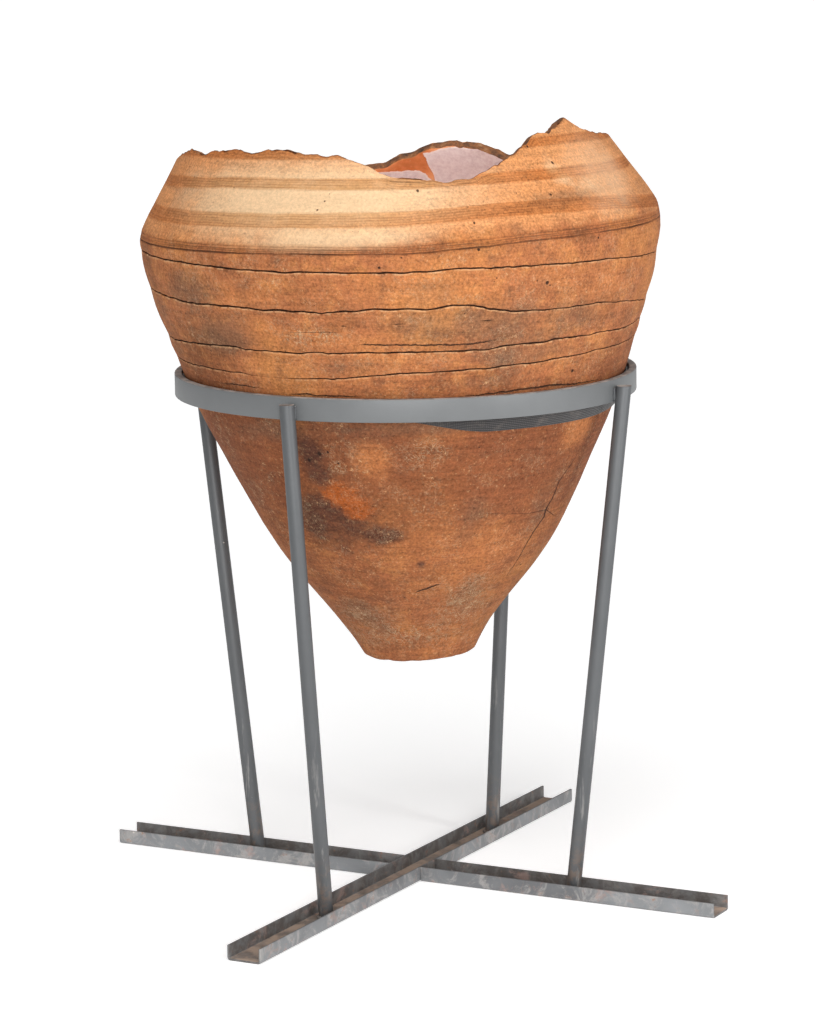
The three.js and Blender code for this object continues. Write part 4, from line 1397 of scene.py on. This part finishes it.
# %% Weld beads, and four legs
foot_bead = weld("foot_bead", (LEG_FOOT_RADIUS, 0, leg_foot + 0.6), None, 2.6, 5,
                 LEG_DIAMETER / 2 + 0.8)
side_beads = []
for side in (-1, 1):
    low = (HOOP_OUTER_RADIUS + 1.2, side * 5.6, hoop_bottom + 2.5)
    high = (HOOP_OUTER_RADIUS + 1.4, side * 6.0, leg_top - 3)
    side_beads.append(weld(f"side_bead_{side + 1}", low, high, 1.9, 7 + side))
only(first_leg)
for bead in [foot_bead, *side_beads]:
    bead.select_set(True)
bpy.context.view_layer.objects.active = first_leg
bpy.ops.object.join()
bpy.ops.object.shade_smooth_by_angle(angle=math.radians(40))

LEG_DIRECTIONS = {"leg_right": 0, "leg_back": 90, "leg_left": 180, "leg_front": -90}
for name, direction in LEG_DIRECTIONS.items():
    only(first_leg)
    bpy.ops.object.duplicate()
    leg = named(name + "_bar")
    leg.data.transform(Matrix.Rotation(math.radians(direction), 4, "Z"))
    leg.data.materials.clear()
    leg.data.materials.append(leg_paint_in_shade)
    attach(leg, "root")
    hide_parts(name)
only(first_leg)
bpy.ops.object.delete()
print("legs:", list(LEG_DIRECTIONS))

# %% [markdown]
# ## The foot cross
#
# The cross is cold-formed channel, 50 by 20.5 mm with a 3 mm wall, and its open side is up. One
# long length runs right through, and two shorter ones butt against its sides. A block loses its top
# and its ends, its two lower edges are rounded as a press brake rounds them, and Solidify gives the
# wall. The raw edges get a very small bevel.

# %% Channels
CHANNEL_WIDTH = 50
CHANNEL_HEIGHT = 20.5
CHANNEL_OUTER_BEND = 4.5
CROSS_REACH = 467


def channel(name, near, far, direction):
    """A length of U-channel from near to far along a direction, in mm and degrees."""
    only()
    bpy.ops.mesh.primitive_cube_add(size=1)
    piece = named(name)
    bpy.ops.transform.resize(value=((far - near) * MM, CHANNEL_WIDTH * MM, CHANNEL_HEIGHT * MM))
    bpy.ops.transform.translate(value=((near + far) / 2 * MM, 0, CHANNEL_HEIGHT / 2 * MM))
    bpy.ops.object.transform_apply(location=True, rotation=True, scale=True)
    pick(piece, "polygons", lambda face: face.normal.z > 0.9 or abs(face.normal.x) > 0.9)
    bpy.ops.mesh.delete(type="ONLY_FACE")
    low_edge = 1 * MM
    points = piece.data.vertices

    def is_bend(edge):
        ends = [points[i].co for i in edge.vertices]
        return all(p.z < low_edge for p in ends) and abs(ends[0].x - ends[1].x) > low_edge

    pick(piece, "edges", is_bend)
    bpy.ops.mesh.bevel(offset=CHANNEL_OUTER_BEND * MM, offset_type="OFFSET", segments=6)
    bpy.ops.object.mode_set(mode="OBJECT")
    wall = piece.modifiers.new("wall", "SOLIDIFY")
    wall.thickness = CHANNEL_WALL * MM
    wall.offset = -1
    wall.use_even_offset = True
    edge = piece.modifiers.new("raw edge", "BEVEL")
    edge.width = 0.45 * MM
    edge.segments = 2
    edge.limit_method = "ANGLE"
    edge.angle_limit = math.radians(40)
    apply_all(piece)
    cuts = np.arange(math.ceil(near / 24) * 24 + 12, far, 24)
    bpy.ops.object.mode_set(mode="EDIT")
    for at in cuts:
        bpy.ops.mesh.select_all(action="SELECT")
        bpy.ops.mesh.bisect(plane_co=(at * MM, 0, 0), plane_no=(1, 0, 0))
    bpy.ops.object.mode_set(mode="OBJECT")
    piece.data.transform(Matrix.Rotation(math.radians(direction), 4, "Z"))
    bpy.ops.object.shade_smooth_by_angle(angle=math.radians(30))
    piece.data.materials.append(channel_paint)
    return piece


channels = {
    "long_channel": channel("long_foot", -CROSS_REACH, CROSS_REACH, 90),
    "short_channel_right": channel("short_foot_right", CHANNEL_WIDTH / 2 + TOUCH, CROSS_REACH, 0),
    "short_channel_left": channel("short_foot_left", CHANNEL_WIDTH / 2 + TOUCH, CROSS_REACH, 180),
}
for node_name, piece in channels.items():
    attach(piece, "root")
    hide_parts(node_name)
    size = (points_of(piece).max(axis=0) - points_of(piece).min(axis=0)) / MM
    print(node_name, size.round(1), "mm")

# %% [markdown]
# ## The lining strip
#
# A strip of dark woven webbing lies between the hoop and the jar. It hides behind the hoop nearly
# all the way round and sags out under it at the front right. It is real cloth, so it is built as a
# flat tape would lie: rows that follow the jar's wall from just under the hoop's top edge to the
# tape's own lower edge, and then a thickness.

# %% Strip
STRIP_THICKNESS = 1.8
STRIP_TOP_BELOW_HOOP_TOP = 3
STRIP_DEPTH_BEHIND_HOOP = 26
STRIP_DEPTH_WHERE_LOOSE = 49.5
STRIP_DRAWN_RADIUS = 300
STRIP_MIDDLE_RADIUS = 296
STRIP_WIDTH_ON_MAP = 46
STRIP_STEPS = 360
STRIP_ROWS = 10


def smoothstep(value, low, high):
    """Eases from 0 to 1 as the value goes from low to high."""
    t = np.clip((value - low) / (high - low), 0, 1)
    return t * t * (3 - 2 * t)


only()
bpy.ops.mesh.primitive_circle_add(vertices=STRIP_STEPS, radius=STRIP_DRAWN_RADIUS * MM)
strip = named("webbing_strip")
bpy.ops.object.mode_set(mode="EDIT")
for _ in range(STRIP_ROWS):
    bpy.ops.mesh.extrude_edges_move(TRANSFORM_OT_translate={"value": (0, 0, 1 * MM)})
bpy.ops.object.mode_set(mode="OBJECT")
flat_points = points_of(strip)
strip_azimuth = np.degrees(np.arctan2(flat_points[:, 1], flat_points[:, 0]))
strip_share = flat_points[:, 2] / (STRIP_ROWS * MM)
loose = smoothstep(strip_azimuth, -100, -68) * (1 - smoothstep(strip_azimuth, -40, 60))
depth = STRIP_DEPTH_BEHIND_HOOP + (STRIP_DEPTH_WHERE_LOOSE - STRIP_DEPTH_BEHIND_HOOP) * loose
depth = depth + (STRIP_TOP_BELOW_HOOP_TOP - depth) * strip_share
strip_height = -depth
for _ in range(6):
    sideways = wall_radius(strip_height) * np.cos(np.radians(strip_azimuth))
    sideways = sideways + bow(strip_height)
    strip_height = (-depth - sideways * math.sin(JAR_LEAN)) / math.cos(JAR_LEAN)
pucker = 0.8 * loose * (1 - strip_share) * (1 + lumps(strip_azimuth, 0 * depth, 46, 60, 91))
slant = (wall_radius(strip_height + 2) - wall_radius(strip_height - 2)) / 4
strip_radius = wall_radius(strip_height) + (TOUCH + pucker) * np.hypot(1, slant)
turned = np.radians(strip_azimuth)
move_points(strip, MM * np.stack([bow(strip_height) + strip_radius * np.cos(turned),
                                  strip_radius * np.sin(turned), strip_height], axis=1))
bpy.ops.object.mode_set(mode="EDIT")
bpy.ops.mesh.select_all(action="SELECT")
bpy.ops.mesh.normals_make_consistent(inside=False)
bpy.ops.object.mode_set(mode="OBJECT")
print("strip from", round(depth.min()), "to", round(depth.max(), 1), "mm below the hoop's top edge")

# %% [markdown]
# The weave has to run along the tape, so the tape gets a map in metres, as if it was laid flat: its
# length one way and its width the other. Solidify then gives the thickness, outwards from the jar.

# %% Strip's map, thickness and place
tape_map = strip.data.uv_layers.new(name="weave")
corner = np.zeros(len(strip.data.loops), int)
strip.data.loops.foreach_get("vertex_index", corner)
corner_u = ((strip_azimuth - SEAM_AZIMUTH) / 360 % 1)[corner]
quads = corner_u.reshape(-1, 4)
quads = np.where(quads.max(axis=1, keepdims=True) - quads > 0.5, quads + 1, quads)
tape_length = math.tau * STRIP_MIDDLE_RADIUS * MM
tape_uv = np.stack([quads.ravel() * tape_length, strip_share[corner] * STRIP_WIDTH_ON_MAP * MM],
                   axis=1)
tape_map.data.foreach_set("uv", tape_uv.ravel())
wall = strip.modifiers.new("tape", "SOLIDIFY")
wall.thickness = STRIP_THICKNESS * MM
wall.offset = 1
apply_all(strip)
strip.data.transform(jar_place)
bpy.ops.object.shade_smooth_by_angle(angle=math.radians(50))

# %% [markdown]
# Woven polypropylene webbing is dull black that has gone grey with dust. Its ribs run along the
# tape. They are about 1.5 mm apart on the real one and are drawn at 2.4 mm, so that they show.

# %% Webbing
RIB_SPACING = 2.4 * MM
PICK_SPACING = 3.0 * MM

webbing, tree, shader = new_material("woven_polypropylene_webbing", 0.95)
shader.inputs["Sheen Weight"].default_value = 0.2
weave = node(tree, "UVMap", uv_map="weave")
along_tape, across_tape, _ = node(tree, "SeparateXYZ", weave).node.outputs
ribs = node(tree, "Math", node(tree, "Math", across_tape, math.tau / RIB_SPACING, operation="MULTIPLY"),
            operation="SINE")
picks = node(tree, "Math", node(tree, "Math", along_tape, math.tau / PICK_SPACING, operation="MULTIPLY"),
             operation="SINE")
lifted_thread = node(tree, "Math", ribs, node(tree, "Math", picks, 0.35, 0.65, operation="MULTIPLY_ADD"),
                     operation="MULTIPLY")
cloth_colour = node(tree, "ValToRGB",
                    node(tree, "Math", lifted_thread, 0.5, 0.5, operation="MULTIPLY_ADD"),
                    stops=[(0.1, "#161515"), (0.6, "#302e2f"), (0.95, "#4c4846")])
dusted = node(tree, "MapRange", grain(tree, 22, 5, 0.7, seed=93), 0.5, 0.75, 0, 0.4,
              interpolation_type="SMOOTHSTEP")
cloth_colour = node(tree, "Mix", dusted, cloth_colour, "#6d625a", data_type="RGBA")
tree.links.new(cloth_colour, shader.inputs["Base Color"])
weave_bump = node(tree, "Bump", Height=lifted_thread, Distance=0.4 * MM, Strength=0.8)
tree.links.new(weave_bump, shader.inputs["Normal"])
strip.data.materials.clear()
strip.data.materials.append(webbing)
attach(strip, "root")
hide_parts("lining_strip")

# %% [markdown]
# ## Paper
#
# The floor is seamless studio paper: matt, and as white as the background.

# %% Floor paper
white_paper, tree, shader = new_material("matt_white_paper", 0.95)
fibre = node(tree, "ValToRGB", grain(tree, 4, 3, 0.6, seed=97),
             stops=[(0.3, "#f4f4f4"), (0.7, "#f8f8f8")])
tree.links.new(fibre, shader.inputs["Base Color"])
shader.inputs["Emission Color"].default_value = (1, 1, 1, 1)
shader.inputs["Emission Strength"].default_value = 0.34
paper.data.materials.append(white_paper)
